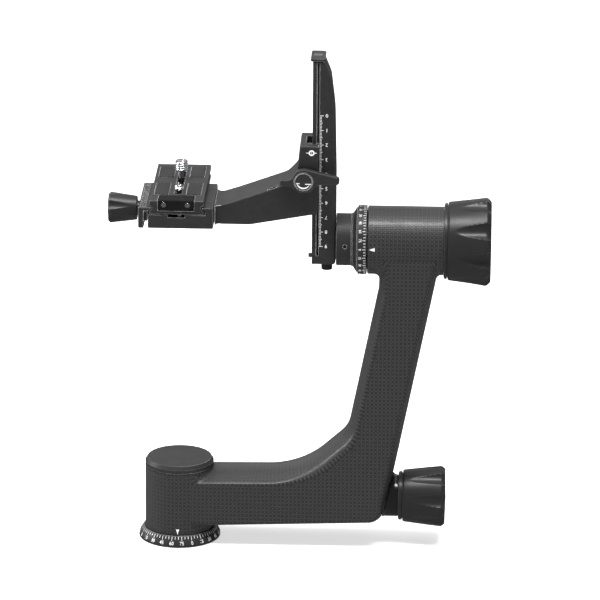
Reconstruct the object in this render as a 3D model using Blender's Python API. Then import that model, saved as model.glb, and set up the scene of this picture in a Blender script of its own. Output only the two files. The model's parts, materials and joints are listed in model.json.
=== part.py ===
"""Alt-azimuth gimbal mount for a long lens: a carbon-fibre arm turns on a graduated base,
and a camera cradle hangs from a rail that tilts in the barrel at the arm's top.

Sizes are in millimetres and are turned into metres as each mesh is made. The pan axis is
the Z axis, with Z = 0 at the face that stands on the tripod. The arm reaches towards +X,
and the tilt axis lies along X.
"""

import math

import bmesh
import bpy
from mathutils import Matrix, Vector

MM = 0.001
GAP = 0.35  # clearance between pieces that touch

# Base and pan unit
BASE_RADIUS = 27.6
BASE_HEIGHT = 7.4
TRIPOD_THREAD_RADIUS = 4.35
TUBE_RADIUS = 23.2
TUBE_BOTTOM = 7.7
TUBE_TOP = 50.9
CAP_TOP = 56.5
PAN_BORE = 20.4

# Arm
ARM_HALF_DEPTH = 21.5
ARM_CROWN = 4.5
ARM_EDGE = 1.6
ARM_WALL = 3.0
PAN_LOCK_Z = 31.05

# Barrel and tilt unit
TILT_Z = 212.1
BARREL_RADIUS = 22.85
BARREL_START = 125.7
BARREL_END = 176.4
TILT_BORE = 20.2
SHAFT_RADIUS = 10.0
BEARING_OUTER = 15.7

# Rail and cradle
RAIL_FACE = 88.7
RAIL_LIP = 91.6
RAIL_BODY = 93.3
RAIL_BACK = 104.5
RAIL_BOTTOM = 197.3
RAIL_TOP = 336.5
RAIL_HALF_DEPTH = 10.5
RAIL_WEB_HALF = 7.5
GROOVE_BOTTOM = 203.4
RAIL_BOLT_Z = (TILT_Z - 3.5, TILT_Z + 11.0)
STOP_BUTTON_Z = 200.6
BLOCK_TOP = 280.7
CRADLE_HALF_DEPTH = 17.0
LEVER_PIVOT = (83.4, 257.8)

# Quick-release clamp and plate
CLAMP_HALF_LENGTH = 29.0
CLAMP_BOTTOM = 226.3
CLAMP_FLOOR = 235.6
JAW_TOP = 240.5
CLAMP_SCREW_Z = 231.5
PLATE_HALF_WIDTH = 18.0
PLATE_FRONT = -28.8
PLATE_BACK = 58.2
PLATE_BOTTOM = 236.0
PLATE_TOP = 245.2
STOP_SCREW_X = (-8.4, 7.3)
STOP_SCREW_Z = 242.7
SAFETY_SCREW = (2.0, -26.0)

FINISHES = {
    "carbon": ((0.035, 0.035, 0.038, 1), 0.38, 0.0),
    "black_anodised": ((0.030, 0.031, 0.033, 1), 0.42, 0.6),
    "knob_black": ((0.022, 0.022, 0.024, 1), 0.45, 0.2),
    "gloss_black": ((0.012, 0.012, 0.013, 1), 0.18, 0.3),
    "rubber_black": ((0.012, 0.012, 0.012, 1), 0.75, 0.0),
    "pad_grey": ((0.060, 0.061, 0.064, 1), 0.70, 0.0),
    "chrome": ((0.80, 0.80, 0.82, 1), 0.12, 1.0),
    "steel": ((0.45, 0.45, 0.46, 1), 0.35, 1.0),
    "brass": ((0.55, 0.42, 0.18, 1), 0.35, 1.0),
    "brake_plastic": ((0.55, 0.55, 0.52, 1), 0.60, 0.0),
}


def clear_scene():
    for old in list(bpy.data.objects):
        bpy.data.objects.remove(old, do_unlink=True)


def finish(name):
    """The material of this finish, made the first time it is asked for."""
    if name in bpy.data.materials:
        return bpy.data.materials[name]
    colour, roughness, metallic = FINISHES[name]
    made = bpy.data.materials.new(name)
    made.use_nodes = True
    made.diffuse_color = colour
    shader = made.node_tree.nodes["Principled BSDF"]
    shader.inputs["Base Color"].default_value = colour
    shader.inputs["Roughness"].default_value = roughness
    shader.inputs["Metallic"].default_value = metallic
    return made


def to_object(name, shape, finish_name, origin=(0, 0, 0)):
    """Turns a bmesh in millimetres into an object with its origin at the given point."""
    bmesh.ops.recalc_face_normals(shape, faces=shape.faces)
    bmesh.ops.translate(shape, verts=shape.verts, vec=-Vector(origin))
    bmesh.ops.scale(shape, verts=shape.verts, vec=(MM, MM, MM))
    mesh = bpy.data.meshes.new(name)
    shape.to_mesh(mesh)
    shape.free()
    mesh.materials.append(finish(finish_name))
    mesh.shade_smooth()
    mesh.set_sharp_from_angle(angle=math.radians(35))
    made = bpy.data.objects.new(name, mesh)
    made.location = Vector(origin) * MM
    bpy.context.scene.collection.objects.link(made)
    return made


def on_axis(axis, centre, radius, along, angle):
    """A point at this radius, distance and angle around an axis through the centre."""
    u, v = radius * math.cos(angle), radius * math.sin(angle)
    x, y, z = centre
    if axis == "X":
        return (x + along, y + u, z + v)
    if axis == "Y":
        return (x + v, y + along, z + u)
    return (x + u, y + v, z + along)


def turned(
    name, profile, axis, centre, finish_name, segments=40, radius_at=None, origin=None, first=0.0
):
    """A turned piece. The profile lists (radius, distance along the axis): a closed loop,
    or an open run whose two ends lie on the axis. radius_at may change a radius by angle,
    and first turns the whole piece by that many segments."""
    shape = bmesh.new()
    rings = []
    for radius, along in profile:
        if radius == 0:
            rings.append([shape.verts.new(on_axis(axis, centre, 0, along, 0))])
            continue
        ring = []
        for step in range(segments):
            angle = 2 * math.pi * (step + first) / segments
            r = radius_at(radius, along, angle) if radius_at else radius
            ring.append(shape.verts.new(on_axis(axis, centre, r, along, angle)))
        rings.append(ring)
    solid = len(rings[0]) == 1 and len(rings[-1]) == 1
    pairs = list(zip(rings, rings[1:]))
    if not solid:
        pairs.append((rings[-1], rings[0]))
    for near, far in pairs:
        for step in range(segments):
            after = (step + 1) % segments
            if len(near) == 1:
                corners = [near[0], far[step], far[after]]
            elif len(far) == 1:
                corners = [near[step], far[0], near[after]]
            else:
                corners = [near[step], far[step], far[after], near[after]]
            shape.faces.new(corners)
    return to_object(name, shape, finish_name, origin or centre)


def rod(name, axis, centre, radius, start, end, finish_name, segments=24, bevel=0.3, origin=None):
    """A plain round bar with small chamfers."""
    profile = [
        (0, start),
        (radius - bevel, start),
        (radius, start + bevel),
        (radius, end - bevel),
        (radius - bevel, end),
        (0, end),
    ]
    return turned(name, profile, axis, centre, finish_name, segments, origin=origin)


def ring(name, axis, centre, inner, outer, start, end, finish_name, segments=40, bevel=0.3):
    """A plain ring with chamfered outer edges."""
    outside = [(outer, start), (outer, end)]
    if bevel:
        outside = [(outer, start + bevel), (outer, end - bevel)]
        outside = [(outer - bevel, start)] + outside + [(outer - bevel, end)]
    profile = [(inner, start)] + outside + [(inner, end)]
    return turned(name, profile, axis, centre, finish_name, segments)


def screw(name, axis, centre, direction, head, shank, finish_name, origin=None, segments=12):
    """A cap screw. head and shank are (radius, length); it points along direction from the
    outer face of its head, which lies at the centre."""
    head_radius, head_length = head
    shank_radius, shank_length = shank
    socket = head_radius * 0.48
    profile = [
        (0, head_length * 0.55),
        (socket, head_length * 0.55),
        (socket, 0),
        (head_radius, 0),
        (head_radius, head_length),
        (shank_radius, head_length),
        (shank_radius, head_length + shank_length),
        (0, head_length + shank_length),
    ]
    profile = [(radius, along * direction) for radius, along in profile]
    return turned(name, profile, axis, centre, finish_name, segments, origin=origin)


def rounded(corners, segments=4):
    """A closed outline from (x, z, radius) corners, each rounded by an arc of its radius."""
    outline = []
    count = len(corners)
    for index, (x, z, radius) in enumerate(corners):
        here = Vector((x, z))
        before = Vector(corners[index - 1][:2]) - here
        after = Vector(corners[(index + 1) % count][:2]) - here
        if radius == 0:
            outline.append((x, z))
            continue
        a, b = before.normalized(), after.normalized()
        half = math.acos(max(-1, min(1, a.dot(b)))) / 2
        centre = here + (a + b).normalized() * radius / math.sin(half)
        start = here + a * radius / math.tan(half) - centre
        end = here + b * radius / math.tan(half) - centre
        sweep = math.atan2(start.x * end.y - start.y * end.x, start.dot(end))
        steps = max(2, math.ceil(segments * abs(sweep) / (math.pi / 2)))
        for step in range(steps + 1):
            turn = sweep * step / steps
            c, s = math.cos(turn), math.sin(turn)
            point = centre + Vector((start.x * c - start.y * s, start.x * s + start.y * c))
            outline.append((point.x, point.y))
    return outline


def grown(outline, amount):
    """The outline moved outwards by amount. It is listed anticlockwise."""
    moved = []
    count = len(outline)
    for index in range(count):
        before, here, after = (Vector(outline[(index + k) % count]) for k in (-1, 0, 1))
        first, second = (here - before).normalized(), (after - here).normalized()
        normal = Vector((first.y + second.y, -first.x - second.x)).normalized()
        reach = amount / max(0.5, normal.dot(Vector((first.y, -first.x))))
        moved.append((here.x + normal.x * reach, here.y + normal.y * reach))
    return moved


def lofted(name, layers, plane, finish_name, origin=(0, 0, 0)):
    """A solid through layers of (distance, outline), closed at both ends. plane says what
    an outline's two numbers are: XZ stacks along Y, XY along Z and YZ along X."""
    place = {
        "XZ": lambda a, b, d: (a, d, b),
        "XY": lambda a, b, d: (a, b, d),
        "YZ": lambda a, b, d: (d, a, b),
    }[plane]
    shape = bmesh.new()
    rings = [[shape.verts.new(place(a, b, d)) for a, b in outline] for d, outline in layers]
    count = len(rings[0])
    for first, second in zip(rings, rings[1:]):
        for step in range(count):
            after = (step + 1) % count
            shape.faces.new([first[step], first[after], second[after], second[step]])
    shape.faces.new(rings[0])
    shape.faces.new(rings[-1])
    return to_object(name, shape, finish_name, origin)


def slab(name, outline, plane, start, end, finish_name, origin=(0, 0, 0), bevel=0.0):
    """A flat piece of constant outline, with its two faces' edges chamfered by bevel. The
    outline is listed anticlockwise."""
    layers = [(start, outline), (end, outline)]
    if bevel:
        small = grown(outline, -bevel)
        layers = [(start, small), (start + bevel, outline), (end - bevel, outline), (end, small)]
    return lofted(name, layers, plane, finish_name, origin)


def box(name, low, high, finish_name, origin=(0, 0, 0)):
    outline = [(low[0], low[2]), (high[0], low[2]), (high[0], high[2]), (low[0], high[2])]
    return slab(name, outline, "XZ", low[1], high[1], finish_name, origin)


def rectangle(x0, x1, z0, z1, radius=0.0):
    return [(x0, z0, radius), (x1, z0, radius), (x1, z1, radius), (x0, z1, radius)]


def combine(target, tool, operation="DIFFERENCE"):
    """Cuts the tool from the target, or joins the two, by a Boolean that stays on it."""
    tool.hide_render = True
    tool.display_type = "WIRE"
    tool.name = "helper_" + tool.name
    modifier = target.modifiers.new(tool.name, "BOOLEAN")
    modifier.operation = operation
    modifier.object = tool
    modifier.solver = "EXACT"
    return target


def bore(target, axis, centre, radius, start, end, segments=16, step=None):
    """Drills a round hole. step, a (radius, distance), changes its radius from there on."""
    label = f"{target.name}_bore_{len(target.modifiers)}"
    profile = [(0, start), (radius, start), (radius, end), (0, end)]
    if step:
        profile[2:3] = [(radius, step[1]), step, (step[0], end)]
    return combine(target, turned(label, profile, axis, centre, "steel", segments, first=0.3))


def pocket(target, low, high):
    """Mills a square-cornered pocket or slot."""
    return combine(target, box(f"{target.name}_pocket_{len(target.modifiers)}", low, high, "steel"))


def bearing(name, axis, centre, start, end):
    """A sealed ball bearing, races and shields as one ring."""
    ring(name, axis, centre, SHAFT_RADIUS + 0.05, BEARING_OUTER, start, end, "steel", 24, 0.4)


def fluted_knob(name, centre, profile, tip, end, count, depth, phase, bore_radius, bore_end):
    """A grip along X. Scoops start as points at tip and widen and deepen towards end."""
    spacing = 2 * math.pi / count

    def radius_at(radius, along, angle):
        reach = (along - tip) / (end - tip)
        if reach <= 0 or radius <= bore_radius:
            return radius
        reach = min(1.0, reach)
        from_middle = (angle - phase + spacing / 2) % spacing - spacing / 2
        width = spacing * 0.40 * reach**0.7
        scoop = max(0.0, 1 - (from_middle / width) ** 2)
        scale = min(1.0, radius / profile[-2][0])
        return radius - depth * reach * scoop * scale

    mouth = profile[0][1]
    full = [(0, bore_end), (bore_radius, bore_end), (bore_radius, mouth)] + profile
    return turned(name, full, "X", centre, "knob_black", count * 6, radius_at)


# ---------------------------------------------------------------- base and pan unit


def make_base():
    top = BASE_HEIGHT
    turned(
        "base_dial",
        [
            (9.2, 0),
            (BASE_RADIUS - 0.6, 0),
            (BASE_RADIUS, 0.6),
            (BASE_RADIUS, 1.5),
            (BASE_RADIUS - 0.3, 2.4),
            (BASE_RADIUS - 1.5, 5.2),
            (BASE_RADIUS - 3.2, top),
            (9.2, top),
        ],
        "Z",
        (0, 0, 0),
        "black_anodised",
        48,
    )
    thread = TRIPOD_THREAD_RADIUS
    ring("tripod_bush", "Z", (0, 0, 0), thread, 9.0, 0, top - GAP, "steel", 24, 0)
    turned(
        "pan_spindle",
        [
            (0, 14.0),
            (thread + 0.2, 14.0),
            (thread + 0.2, top + GAP),
            (13.0, top + GAP),
            (13.0, 10.7),
            (SHAFT_RADIUS, 10.7),
            (SHAFT_RADIUS, 20.5),
            (12.6, 20.5),
            (12.6, 36.0),
            (SHAFT_RADIUS, 36.0),
            (SHAFT_RADIUS, 45.2),
            (8.0, 45.2),
            (8.0, 49.4),
            (0, 49.4),
        ],
        "Z",
        (0, 0, 0),
        "steel",
        24,
    )


def make_pan_unit():
    axis = (0, 0, 0)
    sleeve = ring(
        "pan_sleeve", "Z", axis, BEARING_OUTER + 0.3, PAN_BORE - GAP, 8.1, TUBE_TOP - 0.3, "steel", 32, 0
    )
    bore(sleeve, "X", (0, 0, PAN_LOCK_Z), 5.9, 12, 30)
    bearing("pan_bearing_lower", "Z", axis, 11.0, 19.0)
    bearing("pan_bearing_upper", "Z", axis, 37.0, 44.8)
    ring("pan_bearing_nut", "Z", axis, 8.15, 12.0, 45.55, 49.0, "steel", 24, 0.3)
    turned(
        "pan_cap",
        [
            (0, 50.0),
            (BEARING_OUTER - 0.1, 50.0),
            (BEARING_OUTER - 0.1, TUBE_TOP + GAP),
            (TUBE_RADIUS, TUBE_TOP + GAP),
            (TUBE_RADIUS, 54.0),
            (TUBE_RADIUS - 1.5, CAP_TOP),
            (0, CAP_TOP),
        ],
        "Z",
        axis,
        "black_anodised",
        48,
    )


def make_pan_lock():
    centre = (0, 0, PAN_LOCK_Z)
    turned(
        "pan_lock_bush",
        [
            (3.4, 128.0),
            (9.5, 128.0),
            (9.5, 137.8),
            (14.2, 137.8),
            (14.2, 147.9),
            (13.8, 148.3),
            (3.4, 148.3),
        ],
        "X",
        centre,
        "gloss_black",
        32,
    )
    ring("pan_knob_flange", "X", centre, 5.0, 16.5, 148.75, 151.1, "knob_black", 32)
    fluted_knob(
        "pan_knob",
        centre,
        [
            (17.2, 151.5),
            (17.7, 152.3),
            (18.1, 155.5),
            (19.3, 166.0),
            (20.5, 176.4),
            (20.2, 178.4),
            (18.8, 180.0),
            (17.0, 180.5),
            (0, 180.5),
        ],
        156.0,
        178.0,
        8,
        2.4,
        math.radians(35),
        4.0,
        171.0,
    )
    rod("pan_lock_rod", "X", centre, 3.0, 24.0, 168.0, "steel", 12)
    rod("pan_brake_shoe", "X", centre, 5.5, 12.95, 23.6, "brake_plastic", 16)


# ---------------------------------------------------------------- arm


def arm_outline():
    """The flat front face's outline: the foot, the inner curve and the leaning upright."""
    return rounded(
        [
            (0.0, 14.0, 0),
            (134.6, 19.0, 7.0),
            (171.2, 206.0, 0),
            (138.6, 206.0, 0),
            (138.0, 178.5, 9.0),
            (118.0, 76.8, 27.0),
            (83.2, 45.6, 61.0),
            (0.0, 44.3, 0),
        ],
        8,
    )


def arm_solid(name, half_depth, edge, inset, levels):
    """The crowned body of the arm, with its long edges rounded by edge. A positive inset
    gives the smaller body that hollows it out."""
    outline = arm_outline()

    def reach(depth):
        crown = ARM_CROWN * (1 - (depth / half_depth) ** 2)
        into_edge = max(0.0, abs(depth) - (half_depth - edge))
        return crown - inset - edge + math.sqrt(max(0.0, edge**2 - into_edge**2))

    layers = [(depth, grown(outline, reach(depth))) for depth in levels]
    return lofted(name, layers, "XZ", "carbon")


def make_arm():
    deep = ARM_HALF_DEPTH
    levels = [-deep, ARM_EDGE - deep, -11, 0, 11, deep - ARM_EDGE, deep]
    arm = arm_solid("carbon_arm", deep, ARM_EDGE, 0.0, levels)
    pan, tilt, lock = (0, 0, 0), (0, 0, TILT_Z), (0, 0, PAN_LOCK_Z)
    tube = [(0, TUBE_BOTTOM), (TUBE_RADIUS, TUBE_BOTTOM), (TUBE_RADIUS, TUBE_TOP), (0, TUBE_TOP)]
    combine(arm, turned("tube", tube, "Z", pan, "carbon", 48), "UNION")
    edge = 0.8
    barrel = [
        (0, BARREL_START),
        (BARREL_RADIUS - edge, BARREL_START),
        (BARREL_RADIUS, BARREL_START + edge),
        (BARREL_RADIUS, BARREL_END),
        (0, BARREL_END),
    ]
    combine(arm, turned("barrel", barrel, "X", tilt, "carbon", 48), "UNION")
    inner = deep - ARM_WALL
    hollow = arm_solid("arm_hollow", inner, ARM_EDGE, ARM_WALL, [-inner, -9, 9, inner])
    combine(arm, hollow)
    bore(arm, "X", lock, 9.9, 118, 170, segments=32, step=(14.5, 137.4))
    bore(arm, "Z", pan, PAN_BORE, TUBE_BOTTOM - 5, TUBE_TOP + 5, 36)
    bore(arm, "X", tilt, TILT_BORE, BARREL_START - 5, BARREL_END + 5, 36)
    return arm


# ---------------------------------------------------------------- tilt unit


def make_tilt_unit():
    axis = (0, 0, TILT_Z)
    ring(
        "tilt_sleeve",
        "X",
        axis,
        BEARING_OUTER + 0.3,
        TILT_BORE - GAP,
        BARREL_START + 0.2,
        BARREL_END - 0.2,
        "steel",
        32,
        0,
    )
    bearing("tilt_bearing_left", "X", axis, 127.0, 135.0)
    bearing("tilt_bearing_right", "X", axis, 164.0, 172.0)
    hub = turned(
        "tilt_hub",
        [
            (0, 104.9),
            (17.0, 104.9),
            (17.45, 105.4),
            (17.45, 114.6),
            (17.9, 115.2),
            (17.9, 115.8),
            (22.6, 119.0),
            (13.7, 119.0),
            (13.7, 125.0),
            (10.4, 125.0),
            (10.4, 116.0),
            (0, 116.0),
        ],
        "X",
        axis,
        "black_anodised",
        40,
    )
    bore(hub, "Y", (111.0, 0, TILT_Z), 1.3, -20, -12, 12)
    for z in RAIL_BOLT_Z:
        bore(hub, "X", (0, 0, z), 2.8, 100, 114.5)
    ring("tilt_dial", "X", axis, 14.1, 23.3, 119.35, 125.2, "black_anodised", 48, 0.4)
    turned(
        "tilt_shaft",
        [
            (0, 116.35),
            (SHAFT_RADIUS, 116.35),
            (SHAFT_RADIUS, 172.5),
            (6.0, 172.5),
            (6.0, 197.0),
            (0, 197.0),
        ],
        "X",
        axis,
        "steel",
        24,
    )
    ring("tilt_knob_flange", "X", axis, 6.6, 25.35, 176.85, 178.75, "knob_black", 40)
    fluted_knob(
        "tilt_knob",
        axis,
        [
            (25.6, 179.15),
            (26.2, 180.0),
            (26.6, 184.0),
            (28.0, 194.0),
            (29.5, 203.2),
            (29.3, 205.2),
            (27.6, 207.2),
            (25.0, 208.0),
            (0, 208.0),
        ],
        184.5,
        206.0,
        9,
        3.4,
        math.radians(29.5),
        10.2,
        198.5,
    )
    ring("tilt_knob_insert", "X", axis, 6.3, 9.85, 179.5, 196.0, "brass", 20, 0)
    screw("hub_set_screw", "Y", (111.0, -17.2, TILT_Z), 1, (1.1, 0.8), (1.1, 3.6), "steel", segments=12)


# ---------------------------------------------------------------- rail


def rail_outline():
    """The blade seen from the front: straight at the cradle's side, tapered behind the top."""
    back = [(RAIL_BACK, RAIL_BOTTOM, 1.6), (RAIL_BACK, 258.0, 150.0)]
    taper = [(103.4, 303.0, 80.0), (100.6, 325.5, 14.0), (96.2, RAIL_TOP, 0)]
    return rounded([(RAIL_FACE, RAIL_BOTTOM, 0)] + back + taper + [(RAIL_FACE, RAIL_TOP, 0)], 8)


def make_rail():
    depth = RAIL_HALF_DEPTH
    rail = slab("rail", rail_outline(), "XZ", -depth, depth, "black_anodised", bevel=0.9)
    for sign in (-1, 1):
        near, far = sorted((sign * RAIL_WEB_HALF, sign * (depth + 3)))
        pocket(rail, (RAIL_LIP, near, GROOVE_BOTTOM), (RAIL_BODY, far, RAIL_TOP + 3))
    for name, z in zip(("rail_bolt_lower", "rail_bolt_upper"), RAIL_BOLT_Z):
        bore(rail, "X", (0, 0, z), 4.6, 80, 110, step=(2.8, 94.0))
        screw(name, "X", (89.2, 0, z), 1, (4.2, 4.4), (2.5, 20.0), "steel")
    bore(rail, "X", (0, 0, STOP_BUTTON_Z), 1.9, 80, 95.2)
    bore(rail, "Z", (98.6, 0, 0), 1.7, RAIL_BOTTOM - 3, 204.5)
    bore(rail, "Z", (92.0, 0, 0), 1.5, 329.0, RAIL_TOP + 3)
    plate = slab(
        "rail_end_plate",
        rounded([(87.2, -11.2, 1.2), (97.0, -11.2, 1.2), (97.0, 11.2, 1.2), (87.2, 11.2, 1.2)], 4),
        "XY",
        RAIL_TOP + GAP,
        RAIL_TOP + 2.3,
        "black_anodised",
        bevel=0.4,
    )
    bore(plate, "Z", (92.0, 0, 0), 1.6, RAIL_TOP - 2, RAIL_TOP + 5, step=(2.8, RAIL_TOP + 1.2))
    screw("end_plate_screw", "Z", (92.0, 0, RAIL_TOP + 2.2), -1, (2.5, 0.9), (1.2, 6.0), "gloss_black")
    screw("rail_foot_screw", "Z", (98.6, 0, 191.2), 1, (3.7, 5.7), (1.35, 6.8), "gloss_black")


def make_stop_button():
    centre = (0, 0, STOP_BUTTON_Z)
    turned(
        "stop_button",
        [(0, 86.2), (1.2, 86.2), (1.5, 86.6), (1.5, 90.2), (0, 90.2)],
        "X",
        centre,
        "steel",
        20,
    )
    ring("stop_button_spring", "X", centre, 0.9, 1.55, 92.1, 94.9, "steel", 12, 0)


# ---------------------------------------------------------------- cradle


def make_cradle():
    hook_end = RAIL_BODY - 0.4
    wide = CRADLE_HALF_DEPTH
    outline = rounded(
        [
            (24.6, 226.3, 0),
            (48.0, 226.2, 20.0),
            (hook_end, 234.3, 2.0),
            (hook_end, BLOCK_TOP, 0),
            (80.6, BLOCK_TOP, 1.2),
            (78.9, 262.0, 6.0),
            (72.0, 254.6, 9.0),
            (40.0, 243.0, 12.0),
            (29.5, 239.6, 5.0),
            (24.6, 239.6, 0),
        ],
        5,
    )
    cradle = slab("cradle_arm", outline, "XZ", -wide, wide, "black_anodised", bevel=0.8)
    tongue = box("tongue", (7.0, -12, 226.3), (30.0, 12, 229.9), "black_anodised")
    combine(cradle, tongue, "UNION")
    depth = RAIL_HALF_DEPTH + GAP
    pocket(cradle, (RAIL_FACE - GAP, -depth, 220), (RAIL_LIP + GAP, depth, 300))
    web = RAIL_WEB_HALF + GAP
    pocket(cradle, (RAIL_FACE, -web, 220), (RAIL_BODY + 3, web, 300))
    pocket(cradle, (84.6, -8.6, 241.0), (RAIL_FACE, 8.6, 300))
    x, z = LEVER_PIVOT
    bore(cradle, "Y", (x, 0, z), 3.5, -20, 13)
    for y in (-8.0, 8.0):
        bore(cradle, "Z", (14.0, y, 0), 1.7, 220, 240)
    box("rail_brake_shoe", (86.95, -8.2, 243.0), (88.35, 8.2, 272.5), "brake_plastic")


def make_lock_lever():
    x, z = LEVER_PIVOT
    pivot = (x, 0, z)
    front, back = -CRADLE_HALF_DEPTH - 5.0, -CRADLE_HALF_DEPTH - GAP
    outline = rounded(
        [
            (67.8, 254.8, 1.2),
            (74.5, 254.2, 6.0),
            (80.0, 250.2, 3.0),
            (87.5, 250.2, 4.0),
            (93.0, 255.8, 5.0),
            (107.0, 255.8, 2.0),
            (107.2, 260.6, 1.6),
            (84.5, 266.2, 4.0),
            (79.2, 265.6, 4.0),
            (74.6, 258.8, 3.0),
            (67.6, 258.8, 1.2),
        ],
        3,
    )
    lever = slab("lock_lever", outline, "XZ", front, back, "black_anodised", pivot, bevel=0.7)
    bore(lever, "Y", pivot, 6.3, front - 2, front + 1.6, 28)
    bore(lever, "Y", pivot, 3.5, front + 2.4, back + 2)
    rod("lever_cap", "Y", pivot, 5.95, front - 0.3, front + 1.2, "black_anodised", 28)
    rod("lever_shaft", "Y", pivot, 3.2, front + 2.8, 12.6, "steel", 20)


# ---------------------------------------------------------------- quick-release clamp


def make_clamp():
    half = CLAMP_HALF_LENGTH
    outline = [
        (-19.0, CLAMP_BOTTOM),
        (24.2, CLAMP_BOTTOM),
        (24.2, JAW_TOP),
        (17.0, JAW_TOP),
        (17.0, JAW_TOP - 0.6),
        (18.9, 238.0),
        (18.9, CLAMP_FLOOR),
        (5.5, CLAMP_FLOOR),
        (5.5, CLAMP_FLOOR - 1.7),
        (-5.5, CLAMP_FLOOR - 1.7),
        (-5.5, CLAMP_FLOOR),
        (-19.0, CLAMP_FLOOR),
    ]
    base = slab("clamp_base", outline, "XZ", -half, half, "black_anodised", bevel=0.5)
    pocket(base, (6.6, -12.4, 220), (30, 12.4, 230.3))
    screw_line = (0, 0, CLAMP_SCREW_Z)
    bore(base, "X", screw_line, 2.5, -25, -6.5)
    for y in (-18.0, 18.0):
        bore(base, "X", (0, y, CLAMP_SCREW_Z), 2.9, -25, -9.0, step=(1.8, -14.0))
    for name, y in (("clamp_bolt_front", -8.0), ("clamp_bolt_rear", 8.0)):
        bore(base, "Z", (14.0, y, 0), 1.7, 220, 240, step=(3.1, 232.2))
        screw(name, "Z", (14.0, y, 235.3), -1, (2.8, 2.7), (1.35, 6.0), "steel")


def make_moving_jaw():
    half = CLAMP_HALF_LENGTH
    outline = [
        (-25.4, CLAMP_BOTTOM),
        (-21.9, CLAMP_BOTTOM),
        (-21.9, 231.0 - 0.2),
        (-19.4, 231.0 - 0.2),
        (-19.4, 236.4),
        (-18.9, 237.0),
        (-18.9, 238.0),
        (-17.0, JAW_TOP - 0.6),
        (-17.0, JAW_TOP),
        (-25.4, JAW_TOP),
    ]
    jaw = slab("moving_jaw", outline, "XZ", -half, half, "black_anodised", bevel=0.5)
    pocket(jaw, (-21.9, -half - 1, 229), (-18.0, 1.8 - half, 238.0))
    bore(jaw, "X", (0, 0, CLAMP_SCREW_Z), 2.5, -30, -15)
    for name, y in (("jaw_pin_front", -18.0), ("jaw_pin_rear", 18.0)):
        bore(jaw, "X", (0, y, CLAMP_SCREW_Z), 1.8, -24.2, -15)
        rod(name, "X", (0, y, CLAMP_SCREW_Z), 1.45, -23.8, -10.0, "steel", 12)
    for name, y in (("jaw_spring_front", -18.0), ("jaw_spring_rear", 18.0)):
        ring(name, "X", (0, y, CLAMP_SCREW_Z), 1.75, 2.6, -19.0, -14.4, "steel", 12, 0)


def make_clamp_knob():
    centre = (0, 0, CLAMP_SCREW_Z)
    mirrored = Matrix.Scale(-1, 4, (1, 0, 0))
    knob = fluted_knob(
        "clamp_knob",
        centre,
        [
            (4.9, 25.8),
            (4.9, 27.9),
            (7.8, 27.9),
            (8.3, 28.5),
            (8.5, 32.0),
            (9.4, 38.0),
            (10.4, 44.5),
            (10.3, 45.8),
            (9.4, 46.9),
            (8.6, 47.2),
            (0, 47.2),
        ],
        32.5,
        46.5,
        7,
        1.4,
        math.radians(0),
        2.6,
        41.0,
    )
    knob.data.transform(mirrored)
    knob.data.flip_normals()
    rod("clamp_screw", "X", centre, 2.2, -40.5, -7.5, "steel", 16)


# ---------------------------------------------------------------- camera plate


def make_plate():
    wide = PLATE_HALF_WIDTH
    outline = [
        (-wide + 0.8, PLATE_BOTTOM),
        (wide - 0.8, PLATE_BOTTOM),
        (wide, PLATE_BOTTOM + 0.8),
        (wide, 238.0),
        (wide - 1.7, 239.7),
        (wide - 1.7, 241.3),
        (wide, 242.2),
        (wide, PLATE_TOP - 0.5),
        (wide - 0.5, PLATE_TOP),
        (0.5 - wide, PLATE_TOP),
        (-wide, PLATE_TOP - 0.5),
        (-wide, 242.2),
        (1.7 - wide, 241.3),
        (1.7 - wide, 239.7),
        (-wide, 238.0),
        (-wide, PLATE_BOTTOM + 0.8),
    ]
    plate = slab("camera_plate", outline, "XZ", PLATE_FRONT, PLATE_BACK, "black_anodised", bevel=0.5)
    slot = rounded([(-2.6, -13, 2.5), (2.6, -13, 2.5), (2.6, 42, 2.5), (-2.6, 42, 2.5)], 6)
    combine(plate, slab("plate_slot", slot, "XY", 230, 250, "steel"))
    channel = rounded([(-6, -14.5, 4), (6, -14.5, 4), (6, 45, 4), (-6, 45, 4)], 6)
    combine(plate, slab("plate_channel", channel, "XY", 230, 240.6, "steel"))
    pocket(plate, (-12.4, PLATE_FRONT - 2, 238.3), (11.7, -16.9, 250))
    for x in STOP_SCREW_X:
        bore(plate, "Y", (x, 0, STOP_SCREW_Z), 1.2, -18, -11.5, 12)
    spots = {
        "grip_pad_rear_left": (-15.6, -5.2, 26.0, 52.5),
        "grip_pad_rear_right": (5.2, 15.2, 26.0, 52.5),
        "grip_pad_front_left": (-15.8, -6.2, -14.5, 13.5),
        "grip_pad_front_right": (5.4, 15.2, -14.5, 13.5),
    }
    for name, (x0, x1, y0, y1) in spots.items():
        pocket(plate, (x0, y0, PLATE_TOP - 0.7), (x1, y1, PLATE_TOP + 2))
        inset = 0.3
        corners = rounded(rectangle(x0 + inset, x1 - inset, y0 + inset, y1 - inset, 1.5), 2)
        slab(name, corners, "XY", PLATE_TOP - 0.4, PLATE_TOP + 0.4, "pad_grey", bevel=0.2)
    x, y = SAFETY_SCREW
    bore(plate, "Z", (x, y, 0), 1.6, 230, 241.0)
    screw("safety_screw", "Z", (x, y, 234.3), 1, (2.2, 1.5), (1.25, 2.2), "chrome")


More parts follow.
